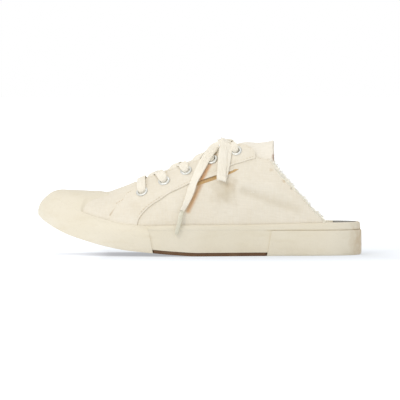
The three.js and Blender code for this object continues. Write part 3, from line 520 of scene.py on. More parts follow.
@dataclass(frozen=True)
class Stain:
    """A soft mark of colour round a point of the shoe, or along a line from it by run, in millimetres: some are stains
    and some painted shade, as noted where they are listed.
    """

    x: float
    y: float
    z: float
    radius: float
    strength: float = 1.0
    colour: str = "B79B6C"
    stretch: tuple[float, float, float] = (1.0, 0.15, 1.0)
    run: tuple[float, float, float] = (0.0, 0.0, 0.0)
    wander: float = 1.0  # how much the noise moves its rim, in radii


@dataclass(frozen=True)
class Finish:
    """What every finish shares: a colour, its second colour, and how rough it is."""

    name: str
    colour: str
    second: str
    roughness: float = 0.9
    stains: tuple[Stain, ...] = ()

    def material(self) -> bpy.types.Material:
        """Makes the material."""
        made = bpy.data.materials.new(self.name)
        made.use_nodes = True
        tree = made.node_tree
        tree.nodes.clear()
        shader = add(tree, "BsdfPrincipled", {"Roughness": self.roughness})
        out = add(tree, "OutputMaterial", {"Surface": shader.outputs[0]})
        out.location = (300, 0)
        where = add(tree, "TexCoord")
        self.dress(tree, shader, where.outputs["Object"], where.outputs["UV"])
        return made

    def dress(self, tree: bpy.types.NodeTree, shader: bpy.types.Node, where: Any, uv: Any) -> None:
        """Adds the finish's own nodes."""
        raise NotImplementedError

    def noise(self, tree: bpy.types.NodeTree, where: Any, size: float, detail: float = 3.0,
              low: float = 0.35, high: float = 0.65, squeeze: tuple[float, float, float] = (1, 1, 1)) -> Any:
        """Cloudy noise whose patches are about size millimetres, spread between low and high."""
        place = add(tree, "Mapping", {"Vector": where, "Scale": squeeze})
        inputs = {"Vector": place.outputs[0], "Scale": 1 / (size * MM), "Detail": detail}
        return ramp(tree, add(tree, "TexNoise", inputs).outputs[0], low, high, soft=False)

    def mix(self, tree: bpy.types.NodeTree, factor: Any, first: Any, second: Any,
            share: float = 1.0) -> Any:
        """The second colour over the first by factor times share."""
        if share != 1.0:
            factor = reckon(tree, "MULTIPLY", factor, share)
        return add(tree, "Mix", {0: factor, 6: first, 7: second}, data_type="RGBA").outputs[2]

    def stained(self, tree: bpy.types.NodeTree, where: Any, colour: Any) -> Any:
        """The colour with the finish's stains and painted shade on it, their rims broken up by noise."""
        if not self.stains:
            return colour
        wander = add(tree, "TexNoise", {"Vector": where, "Scale": 160.0, "Detail": 3.0})
        for stain_or_shade in self.stains:
            middle = (np.array([stain_or_shade.x, stain_or_shade.y, stain_or_shade.z]) + SHIFT) * MM
            place = move(tree, "MULTIPLY", move(tree, "SUBTRACT", where, tuple(middle)), stain_or_shade.stretch)
            if any(stain_or_shade.run):
                run = np.array(stain_or_shade.run) * MM * np.array(stain_or_shade.stretch)
                dot = add(tree, "VectorMath", {0: place, 1: tuple(run)}, operation="DOT_PRODUCT")
                share = reckon(tree, "MULTIPLY", dot.outputs["Value"], float(1 / (run @ run)), clamp=True)
                nearest = add(tree, "VectorMath", {0: tuple(run), "Scale": share}, operation="SCALE")
                place = move(tree, "SUBTRACT", place, nearest.outputs[0])
            far = add(tree, "VectorMath", {0: place}, operation="LENGTH").outputs["Value"]
            wide = stain_or_shade.radius * MM
            rough = reckon(tree, "MULTIPLY_ADD", wander.outputs[0], stain_or_shade.wander * wide, far)
            rough = reckon(tree, "SUBTRACT", rough, 0.5 * stain_or_shade.wander * wide)
            shown = ramp(tree, rough, 0.0, wide, stain_or_shade.strength, 0.0)
            colour = self.mix(tree, shown, colour, linear(stain_or_shade.colour))
        return colour

    def bumped(self, tree: bpy.types.NodeTree, shader: bpy.types.Node,
               layers: Sequence[tuple[Any, float]]) -> None:
        """Layers of height, each with its depth in millimetres, as one chain of bumps."""
        normal = None
        for height, depth in layers:
            inputs = {"Height": height, "Distance": depth * MM, "Strength": 1.0}
            if normal is not None:
                inputs["Normal"] = normal
            normal = add(tree, "Bump", inputs).outputs[0]
        tree.links.new(normal, shader.inputs["Normal"])

    def ribs(self, tree: bpy.types.NodeTree, value: Any, per_unit: float, phase: float = 0.0) -> Any:
        """A sine of value with per_unit waves in each unit of it."""
        return reckon(tree, "SINE", reckon(tree, "MULTIPLY_ADD", value, TURN * per_unit, phase))

    def woven(self, tree: bpy.types.NodeTree, uv: Any, spacing: float) -> Any:
        """A plain weave: the product of sines along both threads, each spacing millimetres apart."""
        parts = add(tree, "SeparateXYZ", {0: uv})
        across = self.ribs(tree, parts.outputs[0], 0.5 / (spacing * MM))
        along = self.ribs(tree, parts.outputs[1], 0.5 / (spacing * MM))
        return reckon(tree, "MULTIPLY", across, along)


@dataclass(frozen=True)
class Canvas(Finish):
    """Cotton duck, plain woven and worn: matt, a fine grain of threads with slubs, off-white gone uneven."""

    spacing: float = 0.9  # the real threads, about 0.55 mm apart, are drawn coarser so that they show
    grain: float = 0.05
    glow: float = 0.0  # painted glow: emission standing in for the light that comes through thin stray threads

    def dress(self, tree: bpy.types.NodeTree, shader: bpy.types.Node, where: Any, uv: Any) -> None:
        """Weave, slubs along both threads, cloudy wear, the listed stains and painted shade, and a painted glow when
        glow is set.
        """
        weave = self.woven(tree, uv, self.spacing)
        slubs = self.noise(tree, uv, 1.6, 2.0, 0.3, 0.7, (1, 0.16, 1))
        picks = self.noise(tree, uv, 1.6, 2.0, 0.3, 0.7, (0.16, 1, 1))
        cloud = self.noise(tree, where, 26, 3.0, 0.3, 0.75)
        fleck = self.noise(tree, where, 3.2, 4.0, 0.35, 0.75)
        colour = self.mix(tree, cloud, linear(self.colour), linear(self.second), 0.5)
        colour = self.mix(tree, fleck, colour, linear(self.second), 0.25)
        colour = self.mix(tree, slubs, colour, linear("FFFFFF"), 0.10)
        colour = self.mix(tree, picks, colour, linear("8F8468"), 0.07)
        tree.links.new(self.stained(tree, where, colour), shader.inputs["Base Color"])
        shader.inputs["Sheen Weight"].default_value = 0.15
        # painted glow, none unless glow is set
        shader.inputs["Emission Color"].default_value = linear(self.colour)
        shader.inputs["Emission Strength"].default_value = self.glow
        shader.inputs["Sheen Roughness"].default_value = 0.6
        shader.inputs["Specular IOR Level"].default_value = 0.25
        self.bumped(tree, shader, [(weave, self.grain), (slubs, 0.06), (picks, 0.06), (fleck, 0.08)])


@dataclass(frozen=True)
class Rubber(Finish):
    """Vulcanised natural rubber, moulded and pressed on: a waxy satin skin, finely scuffed, grimy low down."""

    grime_top: float = 14.0
    grime: float = 0.16
    coat: float = 0.1

    def dress(self, tree: bpy.types.NodeTree, shader: bpy.types.Node, where: Any, uv: Any) -> None:
        """Cloudy yellowing, grime that fades upwards, small scuffs and a faint pebble."""
        cloud = self.noise(tree, where, 34, 4.0, 0.3, 0.75)
        speck = self.noise(tree, where, 2.2, 3.0, 0.58, 0.75)
        scuff = self.noise(tree, where, 9, 5.0, 0.52, 0.72, (0.35, 1, 1.6))
        height = add(tree, "SeparateXYZ", {0: where})
        low = ramp(tree, height.outputs[2], 0.0, self.grime_top * MM, 1.0, 0.0)
        patchy = reckon(tree, "MULTIPLY", low, cloud)
        colour = self.mix(tree, cloud, linear(self.colour), linear(self.second), 0.6)
        colour = self.mix(tree, patchy, colour, linear("A68B5F"), self.grime)
        colour = self.mix(tree, scuff, colour, linear("CDBE9C"), 0.14)
        colour = self.mix(tree, speck, colour, linear("9A845C"), 0.06)
        tree.links.new(self.stained(tree, where, colour), shader.inputs["Base Color"])
        rough = ramp(tree, scuff, 0.0, 1.0, self.roughness - 0.08, self.roughness + 0.2, False)
        tree.links.new(rough, shader.inputs["Roughness"])
        shader.inputs["Coat Weight"].default_value = self.coat
        shader.inputs["Coat Roughness"].default_value = 0.45
        pebble = self.noise(tree, where, 0.9, 2.0, 0.2, 0.8)
        dents = self.noise(tree, where, 7, 3.0, 0.2, 0.8)
        self.bumped(tree, shader, [(pebble, 0.05), (dents, 0.35), (scuff, 0.06)])


@dataclass(frozen=True)
class LaceCotton(Finish):
    """Flat tubular cotton lace, machine woven: soft and matt, with ribs along it and a fine herringbone."""

    ribs_across: float = 6.0

    def dress(self, tree: bpy.types.NodeTree, shader: bpy.types.Node, where: Any, uv: Any) -> None:
        """Ribs along the lace, picks slanted across them, and shade between the ribs."""
        parts = add(tree, "SeparateXYZ", {0: uv})
        ribs = self.ribs(tree, parts.outputs[0], self.ribs_across, 1.2)
        bent = reckon(tree, "MULTIPLY_ADD", ribs, 0.5 * MM, parts.outputs[1])
        picks = self.ribs(tree, bent, 1 / (1.3 * MM))
        fuzz = self.noise(tree, where, 0.8, 3.0, 0.3, 0.7)
        cloud = self.noise(tree, where, 12, 3.0, 0.3, 0.75)
        shade = ramp(tree, ribs, -1.0, -0.2, 1.0, 0.0, False)
        colour = self.mix(tree, cloud, linear(self.colour), linear(self.second), 0.7)
        colour = self.mix(tree, shade, colour, linear("C0AE8C"), 0.2)
        colour = self.mix(tree, fuzz, colour, linear("FFFFFF"), 0.12)
        tree.links.new(self.stained(tree, where, colour), shader.inputs["Base Color"])
        shader.inputs["Sheen Weight"].default_value = 0.2
        shader.inputs["Sheen Roughness"].default_value = 0.5
        shader.inputs["Specular IOR Level"].default_value = 0.25
        self.bumped(tree, shader, [(ribs, 0.08), (picks, 0.04), (fuzz, 0.08)])


@dataclass(frozen=True)
class Metal(Finish):
    """Nickel-plated brass, stamped and worn: grey-white metal gone dull, with fine scratches and tarnish."""

    def dress(self, tree: bpy.types.NodeTree, shader: bpy.types.Node, where: Any, uv: Any) -> None:
        """Metal with cloudy tarnish that also roughens it."""
        shader.inputs["Metallic"].default_value = 1.0
        tarnish = self.noise(tree, where, 2.4, 4.0, 0.35, 0.7)
        scratch = self.noise(tree, where, 0.7, 2.0, 0.3, 0.7, (1, 0.2, 1))
        colour = self.mix(tree, tarnish, linear(self.colour), linear(self.second), 0.6)
        tree.links.new(colour, shader.inputs["Base Color"])
        rough = ramp(tree, tarnish, 0.0, 1.0, self.roughness, self.roughness + 0.25, False)
        tree.links.new(rough, shader.inputs["Roughness"])
        self.bumped(tree, shader, [(scratch, 0.02)])


@dataclass(frozen=True)
class Film(Finish):
    """Clear acetate film rolled tight over the lace's end: greenish, glossy, with the weave under it."""

    def dress(self, tree: bpy.types.NodeTree, shader: bpy.types.Node, where: Any, uv: Any) -> None:
        """The lace's ribs seen through a glossy coat."""
        parts = add(tree, "SeparateXYZ", {0: uv})
        ribs = self.ribs(tree, parts.outputs[0], 4.0)
        cloud = self.noise(tree, where, 3, 3.0, 0.3, 0.7)
        shade = ramp(tree, ribs, -1.0, 1.0, soft=False)
        colour = self.mix(tree, shade, linear(self.second), linear(self.colour))
        colour = self.mix(tree, cloud, colour, linear(self.second), 0.4)
        tree.links.new(colour, shader.inputs["Base Color"])
        shader.inputs["Coat Weight"].default_value = 0.8
        shader.inputs["Coat Roughness"].default_value = 0.12
        self.bumped(tree, shader, [(ribs, 0.05), (cloud, 0.08)])


@dataclass(frozen=True)
class Felt(Finish):
    """Needled wool felt, worn: dark and matt, with a nap of pale fibres."""

    def dress(self, tree: bpy.types.NodeTree, shader: bpy.types.Node, where: Any, uv: Any) -> None:
        """Fibres as stretched noise over a mottled ground."""
        nap = self.noise(tree, where, 1.1, 5.0, 0.35, 0.7, (1, 0.3, 1))
        cloud = self.noise(tree, where, 7, 3.0, 0.3, 0.7)
        colour = self.mix(tree, cloud, linear(self.colour), linear(self.second), 0.7)
        colour = self.mix(tree, nap, colour, linear("B5AC98"), 0.22)
        tree.links.new(colour, shader.inputs["Base Color"])
        shader.inputs["Sheen Weight"].default_value = 0.3
        self.bumped(tree, shader, [(nap, 0.3), (cloud, 0.2)])


@dataclass(frozen=True)
class Paper(Finish):
    """Seamless paper that glows as a light table does: plain and matt; its glow is lowered round the shoe, a painted
    shadow, and raised ahead of the toe and past the heel, painted light.
    """

    # glow is the painted shadow's level under the shoe; toe_glow is the painted light ahead of the toe and past the
    # heel
    glow: float = 0.45
    open_glow: float = 0.64
    far_glow: float = 1.02
    toe_glow: float = 0.8

    def dress(self, tree: bpy.types.NodeTree, shader: bpy.types.Node, where: Any, uv: Any) -> None:
        """A faint fibre grain, and the glow: least under the shoe, a painted shadow; more ahead of its toe and past
        its heel, painted light that clears the shadow there.
        """
        grain = self.noise(tree, where, 4, 2.0)
        tree.links.new(self.mix(tree, grain, linear(self.colour), linear(self.second)), shader.inputs["Base Color"])
        shader.inputs["Specular IOR Level"].default_value = 0.0
        shader.inputs["Emission Color"].default_value = linear("F2F6FC")
        place = move(tree, "MULTIPLY", move(tree, "ADD", where, (-0.04, 0, 0)), (0.75, 1, 1))
        far = add(tree, "VectorMath", {0: place}, operation="LENGTH").outputs["Value"]
        # painted shadow: the glow falls to glow round the shoe
        near = ramp(tree, far, 0.055, 0.2, self.glow, self.open_glow)
        beyond = ramp(tree, far, 0.22, 0.8, 0.0, self.far_glow - self.open_glow)
        along = add(tree, "SeparateXYZ", {0: where}).outputs[0]
        glow = reckon(tree, "ADD", near, beyond)
        # painted light: the glow rises again ahead of the toe and past the heel
        for ends in ((-0.12, -0.035, self.toe_glow, 0.0), (0.13, 0.26, self.glow, self.toe_glow)):
            glow = reckon(tree, "MAXIMUM", glow, ramp(tree, along, *ends))
        tree.links.new(glow, shader.inputs["Emission Strength"])


CANVAS_STAINS_AND_SHADE = (
    # painted shadow under the hanging lace loop: the first two marks; the third is a faint patch on the vamp
    Stain(23, -45, 60, 20, 0.5, "BFB194"), Stain(28, -45, 66, 9, 0.4, "B79F78"), Stain(-60, -40, 46, 12, 0.12, "C9B48C"),
    Stain(41.5, -40, 61, 7, 0.3, "BFB49A", run=(49, 0, -18), wander=0.6),  # painted shade in the trough of the big crease
    # painted shade in small holes and pockets of the frayed collar, here and on the next line
    Stain(67, -38, 80, 3.2, 0.75, "BC9C66"), Stain(79, -36, 69.5, 3.0, 0.7, "BC9C66"),
    Stain(85.5, -34, 62.7, 2.0, 0.6, "6E5838"),
    Stain(15.4, -30, 95.6, 3.4, 0.85, "C98F50", run=(-13.6, 0, -24.4), wander=0.3),  # painted warm shadow beside the hanging lace end's edge, here and on the next line
    Stain(2.0, -38, 69.4, 4.0, 0.8, "CB9A62", run=(-12.8, 0, -27.1), wander=0.3),
    Stain(-83.5, -36, 38, 1.1, 0.8, "B39870", run=(5.5, 0, 9), wander=0.3),  # the panel's front seam, here and on the next two lines: a thin dark line, partly the seam's turned edge and stitching, partly painted shade of the panel's edge step
    Stain(-78, -36, 47, 1.1, 0.9, "B39870", run=(7, 0, 9.5), wander=0.3),
    Stain(-71, -34, 56.5, 1.1, 0.8, "B39870", run=(8.5, 0, 6), wander=0.3),
)
RUBBER_PAINTED_SHADE = (
    # painted shade on the heel's back end, which turns away from the light
    Stain(152, 0, 12, 15, 0.75, "BFA67C", (1.0, 0.12, 0.4)),
    # painted shade line at the toe cap's rear edge near its top
    Stain(-90.5, -20, 55.5, 0.9, 0.7, "8C7A5C", run=(2.6, 8, 4.6), wander=0.3),
)
CANVAS = Canvas("cotton_duck", "EAE2D1", "E2D8C3", 0.92, CANVAS_STAINS_AND_SHADE).material()
LINING = Canvas("cotton_drill_lining", "E2D9C4", "CFC2A4", 0.95, spacing=0.7).material()
# the tongue cloth's one mark is a painted shadow in the gap between the tongue's end and the collar
TONGUE_CLOTH = Canvas("cotton_duck_tongue", "F3EDE0", "EAE2D1", 0.92,
                      (Stain(69.5, -24, 90.5, 4.5, 0.85, "8E5A3C", (1.6, 0.15, 0.7)),)).material()
RUBBER = Rubber("cream_vulcanised_rubber", "E5DDCA", "DDD3BA", 0.5, RUBBER_PAINTED_SHADE).material()
GUM = Rubber("brown_gum_rubber", "6B4A2B", "553A20", 0.7, grime=0.0, coat=0.0).material()
LACE = LaceCotton("flat_cotton_lace", "F9F3E4", "F1E8D4", 0.9).material()
NICKEL = Metal("dull_nickel_plate", "EAEBE8", "CBC9BE", 0.42).material()
DARK = Felt("eyelet_shade", "2E2A24", "221F1A", 0.95).material()
FILM = Film("acetate_film", "E6E4D8", "C9C3A6", 0.3).material()
FELT = Felt("dark_wool_felt", "5E5A50", "4A463E", 0.95).material()
THREAD = Canvas("cotton_thread", "E7DCC4", "CDBE9E", 0.9, spacing=0.5).material()
# FRAYED's glow is a painted glow: emission that lightens the thin stray threads
FRAYED = Canvas("frayed_cotton", "FEFBF0", "F9F3E2", 0.95, spacing=0.5, glow=0.1).material()
BROWN_THREAD = Canvas("brown_thread", "D3B182", "BC9765", 0.9, spacing=0.5).material()
# a tan sheet in the gap under the panel's flap: partly lining seen there, partly painted shade
TAN_LINING_AND_SHADE = Canvas("tan_lining", "CBA66C", "BA935A", 0.95, spacing=0.7).material()
PAPER = Paper("white_paper", "B4B6B8", "B0B2B4", 0.95).material()


# The sole


@dataclass
class Sole:
    """Outsole, cup wall, and the rubber wrapped round toe and heel."""

    outsole: float = 3.0
    foxing: float = 2.7
    gap: float = 0.3
    wall: float = 1.1
    band: float = 0.8
    toe_joint: tuple[float, float] = (0.357, 0.341)  # at the floor and at the rim
    heel_joint: tuple[float, float] = (0.706, 0.7245)
    tread_depth: float = 1.2
    tread_width: float = 2.6
    tread_pitch: float = 11.5
    zigzag: float = 5.0

    def ring(self, profile: Sequence[tuple[Any, Callable[[Array], Array]]], ends: Callable[[int], tuple[float, float]],
             count: int) -> Array:
        """A profile carried along the outline.

        Args:
            profile: Steps, each an inset (a number or a function of x) and a height as a function of x.
            ends: The angles between which the step of that number runs. count: Columns.

        Returns:
            The grid, one row a step, the last the same as the first.
        """
        rows = []
        for i, (inset, height) in enumerate([*profile, profile[0]]):
            start, end = ends(i % len(profile))
            turn = np.linspace(start, end, count)
            flat = LAST.outline(turn, inset(LAST.outline(turn)[:, 0]) if callable(inset) else inset)
            rows.append(np.concatenate([flat, height(flat[:, 0])[:, None]], 1))
        return np.stack(rows)

    def capped(self, grid: Array) -> Shape:
        """A ring's grid with both ends closed by fans from their middles."""
        shape = Shape()
        uv = arc_uv(grid)
        shape.grid(grid, uv)
        for column, flip in ((0, False), (-1, True)):
            rim = grid[:, column]
            fan = np.stack([rim, np.broadcast_to(rim[:-1].mean(0), rim.shape)], 1)
            shape.grid(fan, None, 0, not flip)
        return shape

    def midsole(self) -> None:
        """The wall with its groove and rim band, from joint to joint round the heel."""
        base = lambda x: LAST.floor(x) + self.outsole + self.gap
        groove, rim, w, b = LAST.groove, LAST.rim, self.wall, self.band
        inner = LAST.feather - 2.1
        open_from = LAST.x(self.heel_joint[0])  # ahead of the heel's rubber the groove is all but closed
        cut = lambda depth: lambda x: w + depth * (0.12 + 0.88 * smooth(x, open_from - 6, open_from + 4))
        profile = [
            (0.8 * w, base), (w, lambda x: base(x) + 2), (w, lambda x: groove(x) - b - 0.3),
            (cut(0.3), lambda x: groove(x) - 0.55 * b), (cut(0.9 * b), lambda x: groove(x) - 0.12),
            (cut(0.9 * b), lambda x: groove(x) + 0.12), (cut(0.1), lambda x: groove(x) + 0.5 * b),
            (0.8 * w, lambda x: groove(x) + b), (0.82 * w, lambda x: groove(x) + b + 1),
            (1.05 * w, lambda x: rim(x) - 2.2), (1.3 * w, lambda x: rim(x) - 1.3), (1.75 * w, lambda x: rim(x) - 0.5),
            (2.3 * w, lambda x: rim(x) - 0.12), (inner - 0.25, rim), (inner, lambda x: rim(x) - 0.4),
            (inner, LAST.board), (inner + 0.6, base)]
        joint = LAST.angle(self.toe_joint[1])
        grid = self.ring(profile, lambda i: (joint, TURN - joint), 420)
        self.capped(grid).build("midsole_dressed", [RUBBER], "rubber", ["midsole"], 50)

    def heel_foxing(self) -> None:
        """The rubber wrapped round the heel, up to the groove, its ends leaning with the joint."""
        groove, f = LAST.groove, self.foxing
        profile = [
            (2.3, lambda x: 0 * x), (1.4, lambda x: 0 * x + 0.15), (0.75, lambda x: 0 * x + 0.6),
            (0.3, lambda x: 0 * x + 1.4), (0.08, lambda x: 0 * x + 2.4), (0, lambda x: 0 * x + 4),
            (-0.02, lambda x: 0 * x + 12), (0, lambda x: groove(x) - 0.7), (0.15, lambda x: groove(x) - 0.25),
            (0.5, lambda x: groove(x) - 0.03), (f - 0.1, groove), (f, lambda x: 0 * x)]
        share = np.array([0, 0, .02, .05, .09, .15, .45, .72, .74, .75, .75, 0])
        start = LAST.angle(self.heel_joint[0] + (self.heel_joint[1] - self.heel_joint[0]) * share) + 0.002
        grid = self.ring(profile, lambda i: (start[i], TURN - start[i]), 300)
        self.capped(grid).build("heel_foxing_dressed", [RUBBER], "rubber", ["heel_foxing"], 50)

    def toe_foxing(self) -> None:
        """The thick rubber round the toe: up from the floor, then closing in on the upper as it climbs."""
        edge, low = 3.3, LAST.feather
        joint = LAST.angle(self.toe_joint[0] + (self.toe_joint[1] - self.toe_joint[0]) * np.linspace(0, 1, 24))
        turn = np.linspace(-1, 1, 360)
        rows, outer = [], 24

        def swell(at: Array, up: Array) -> Array:
            far = LAST.along(at)
            rim = edge + (low - self.wall - edge) * smooth(far, 0.1, 0.3)
            shape = smooth(up, 0.1, 1) * (1 - smooth(far, 0.1, 0.2)) + up**3 * smooth(far, 0.1, 0.2)
            return low + (rim - low) * shape

        for i, share in enumerate(np.linspace(0, 1, outer)):
            angle = turn * joint[i]
            flat = LAST.outline(angle, 0)
            x = flat[:, 0]
            floor, board, rim = LAST.floor(x), LAST.board(x), LAST.rim(x)
            height = floor + share * (rim - floor)
            inset = 0.4 * (1 - np.clip(share / 0.07, 0, 1)) ** 2
            foot = LAST.outline(angle, inset)
            below = np.concatenate([foot, height[:, None]], 1)
            up = np.clip((height - board) / (rim - board), 0, 1)
            offset = swell(x, up) - 0.55 * smooth(share, 0.965, 1) * smooth(LAST.along(x), 0.11, 0.16)
            lift = LAST._halve(lambda s: LAST.off(angle, s, offset)[:, 2] < height, x)
            rows.append(np.where((height > board)[:, None], LAST.off(angle, lift, offset), below))
        top = rows[-1]
        angle = turn * joint[-1]
        lift = LAST._halve(lambda s: LAST.off(angle, s, np.full(angle.shape, 2.1))[:, 2] < top[:, 2], angle)
        rows.append(LAST.off(angle, lift, np.full(angle.shape, 2.1)))
        rows.append(LAST.off(angle, 0 * lift, np.full(angle.shape, 2.1)))
        flat = LAST.outline(turn * joint[0], self.foxing)
        rows.append(np.concatenate([flat, LAST.floor(flat[:, 0])[:, None]], 1))
        rows.append(rows[0])
        self.capped(np.stack(rows)).build("toe_foxing_dressed", [RUBBER], "rubber", ["toe_foxing"], 50)

    def plate(self) -> None:
        """The brown plate with zigzag tread grooves: flush at the waist, inside the wrapped rubber elsewhere."""
        along = np.unique(np.r_[LAST.along(LAST.length * (np.linspace(0, 1, 360) - 0.5)),
                                (1 - np.cos(np.linspace(0, math.pi, 60))) / 2])
        angle = LAST.angle(along)
        waist = smooth(along, self.toe_joint[0], self.toe_joint[0] + 0.003) * (
            1 - smooth(along, self.heel_joint[0] - 0.003, self.heel_joint[0]))
        inset = self.foxing + self.gap + (0.8 - self.foxing - self.gap) * waist
        across = np.linspace(0, 1, 70)

        def sheet(extra: float, height: Callable[[Array, Array], Array]) -> Array:
            left, right = (LAST.outline(sign * angle, inset + extra) for sign in (1, -1))
            flat = left[:, None] + (right - left)[:, None] * across[None, :, None]
            return np.concatenate([flat, height(flat[..., 0], flat[..., 1])[..., None]], 2)

        def tread(x: Array, y: Array) -> Array:
            bands = sum(smooth(LAST.along(x), a, a + 0.004) * (1 - smooth(LAST.along(x), b - 0.004, b))
                        for a, b in ((0.1, 0.46), (0.75, 0.95)))
            fold = np.abs(np.mod(y / (0.3 * LAST.ball) + 10, 2) - 1) * self.zigzag
            off = np.abs(np.mod(x - fold, self.tread_pitch) - self.tread_pitch / 2)
            inside = smooth(np.minimum(across, 1 - across), 0.03, 0.07)[None]  # the plate's edge stays whole
            return LAST.floor(x) + self.tread_depth * inside * bands * (1 - smooth(off, self.tread_width / 2 - 0.4,
                                                                          self.tread_width / 2 + 0.4))

        under = sheet(0.4, tread)
        side = sheet(0.0, lambda x, y: LAST.floor(x) + 0.5)
        top = sheet(0.0, lambda x, y: LAST.floor(x) + self.outsole)
        shape = Shape()
        shape.grid(under, None)
        shape.grid(top, None, flip=True)
        for column, flip in ((0, False), (-1, True)):
            shape.grid(np.stack([under[:, column], side[:, column], top[:, column]], 1), None, flip=not flip)
        shape.build("outsole_dressed", [GUM], "brown_rubber", ["outsole"], 40)

    def make(self) -> None:
        """All four pieces."""
        self.plate()
        self.midsole()
        self.toe_foxing()
        self.heel_foxing()


@dataclass
class Footbed:
    """The sock that the foot stands on, with the dark pad at its back."""

    thickness: float = 4.2
    pad: float = 0.8
    pad_length: float = 19.0
    mouth: float = 0.884  # where the upper ends

    def slab(self, start: float, inset: Callable[[Array], Array], low: Callable[[Array], Array],
             thickness: float, radius: float, relief: Callable[[Array, Array], Array]) -> Shape:
        """A closed slab over the board with a rolled upper edge.

        Its grid runs from start to the heel and across from one edge to the other; the top falls towards the
        rim as a quarter circle does.
        """
        ends = 0.5 - 0.5 * np.cos(np.linspace(0, math.pi, 160))
        along = start + (1 - start) * ends
        angle, across = LAST.angle(along), 0.5 - 0.5 * np.cos(np.linspace(0, math.pi, 60))
        left, right = (LAST.outline(sign * angle, inset(along)) for sign in (1, -1))
        flat = left[:, None] + (right - left)[:, None] * across[None, :, None]
        x, y = flat[..., 0], flat[..., 1]
        width = np.linalg.norm(right - left, axis=1)[:, None]
        edge = np.minimum(np.minimum(across, 1 - across)[None] * width, (x - x.min()) + 0 * y)
        edge = np.minimum(edge, np.linalg.norm(flat - LAST.outline(math.pi, inset(np.array(1.0))), axis=2) * 2)
        half = rolled(edge, 2 * radius, radius) - radius
        top = low(x) + thickness + half + relief(x, y) * np.clip(edge / 6, 0, 1)
        shape = Shape()
        shape.thin(np.dstack([flat, top]), np.dstack([flat, low(x)]))
        return shape

    def make(self) -> None:
        """Both pieces."""
        base = lambda x: LAST.board(x) + 0.3
        inset = lambda a: 5.95 + (3.85 - 5.95) * smooth(a, self.mouth + 0.001, self.mouth + 0.004)
        dish = lambda x, y: -0.35 * np.exp(-((x - 120) / 22) ** 2 - (y / 20) ** 2) + 0.12 * np.sin(x / 7.0) * np.cos(y / 9.0)
        self.slab(0.03, inset, base, self.thickness, 1.2, dish).build("insole_dressed", [LINING], "sock", ["insole"], 60)
        start = LAST.along(LAST.length / 2 - LAST.feather - self.pad_length)
        level = lambda x: base(x) + self.thickness + 0.05
        self.slab(float(start), lambda a: 5.45 + 0 * a, level, self.pad, 0.5, lambda x, y: 0.1 * np.sin(x / 2.7) * np.sin(y / 3.1)
                  ).build("heel_pad_dressed", [FELT], "heel_pad", ["heel_pad"], 60)


# The upper


@dataclass(frozen=True)
class Crease:
    """A soft trough (or a ridge, when depth is negative) along a line seen from the side, in millimetres."""

    start: tuple[float, float]
    end: tuple[float, float]
    depth: float
    width: float
    sides: tuple[Side, ...] = (Side.LATERAL,)
    bow: float = 0.0


CREASES = (
    Crease((41.5, 61), (90, 43.2), 2.4, 4.6, (Side.LATERAL, Side.MEDIAL), 1.5),
    Crease((46, 71), (92, 52), -1.3, 5.0, (Side.LATERAL, Side.MEDIAL), 1.5),
    Crease((12, 60), (40, 49), 0.8, 4.0),
    Crease((-5, 45), (30, 37), 0.7, 4.5),
    Crease((-38, 52), (-26, 36), 0.7, 3.5, (Side.LATERAL, Side.MEDIAL)),
    Crease((-30, 60), (-14, 40), -0.5, 4.0, (Side.LATERAL, Side.MEDIAL)),
    Crease((-66, 58), (-52, 38), 0.5, 4.0, (Side.LATERAL, Side.MEDIAL)),
    Crease((60, 80), (88, 60), 0.6, 4.0),
    Crease((20, 48), (70, 38), -0.5, 5.0, (Side.MEDIAL,)),
)


def creased(points: Array, side: Side) -> Array:
    """How far the creases move the cloth outwards: a bell across each line that fades at its ends."""
    x, z = points[..., 0], points[..., 2]
    moved = np.zeros(x.shape)
    for crease in CREASES:
        if side not in crease.sides:
            continue
        start, end = np.array(crease.start), np.array(crease.end)
        run = end - start
        length = float(np.linalg.norm(run))
        run = run / length
        s = ((x - start[0]) * run[0] + (z - start[1]) * run[1]) / length
        off = -(x - start[0]) * run[1] + (z - start[1]) * run[0] - crease.bow * 4 * s * (1 - s)
        fade = smooth(s, -0.15, 0.2) * (1 - smooth(s, 0.8, 1.15))
        moved -= crease.depth * fade * np.exp(-(off / crease.width) ** 2)
    wave = 0.22 * np.sin(x / 9.0 + z / 13.0) * np.sin(z / 8.0 - x / 21.0) + 0.12 * np.sin(x / 4.3) * np.sin(z / 5.1 + x / 15)
    return moved + wave * smooth(z, 34, 44)


THROAT = np.array([[.3, 0], [.302, .05], [.309, .095], [.324, .125], [.36, .137], [.46, .133], [.54, .118],
                   [.62, .1], [.75, .1]])
TONGUE_PLAN = np.array([[.27, .15], [.3, .21], [.4, .25], [.55, .27], [.66, .3], [.727, .31]])
EYELETS = np.array([[.324, .563], [.393, .658], [.4615, .748], [.541, .846], [.615, .921]])
FRONT_SEAM = np.array([[.216, .25], [.228, .355], [.249, .469], [.274, .557], [.298, .6], [.309, .66], [.313, .72]])
BACK_SEAM = np.array([[.306, .25], [.312, .319], [.326, .381], [.348, .442], [.378, .5], [.409, .555], [.464, .633],
                      [.508, .692], [.551, .745], [.603, .802], [.674, .862]])
COLLAR = np.array([[.62, .985], [.6365, .981], [.654, .963], [.667, .93], [.676, .885], [.68, .863], [.705, .85],
                   [.716, .832], [.722, .81], [.742, .727], [.766, .657], [.788, .591], [.82, .488], [.847, .397],
                   [.868, .342], [.88, .297], [.884, .2]])
CAP_BACK = np.array([[.13, .3], [.145, .42], [.18, .5], [.212, .53], [.2235, .56]])
throat_half = Curve(THROAT[:, 0], THROAT[:, 1] * LAST.ball)
tongue_half = Curve(TONGUE_PLAN[:, 0], TONGUE_PLAN[:, 1] * LAST.ball)


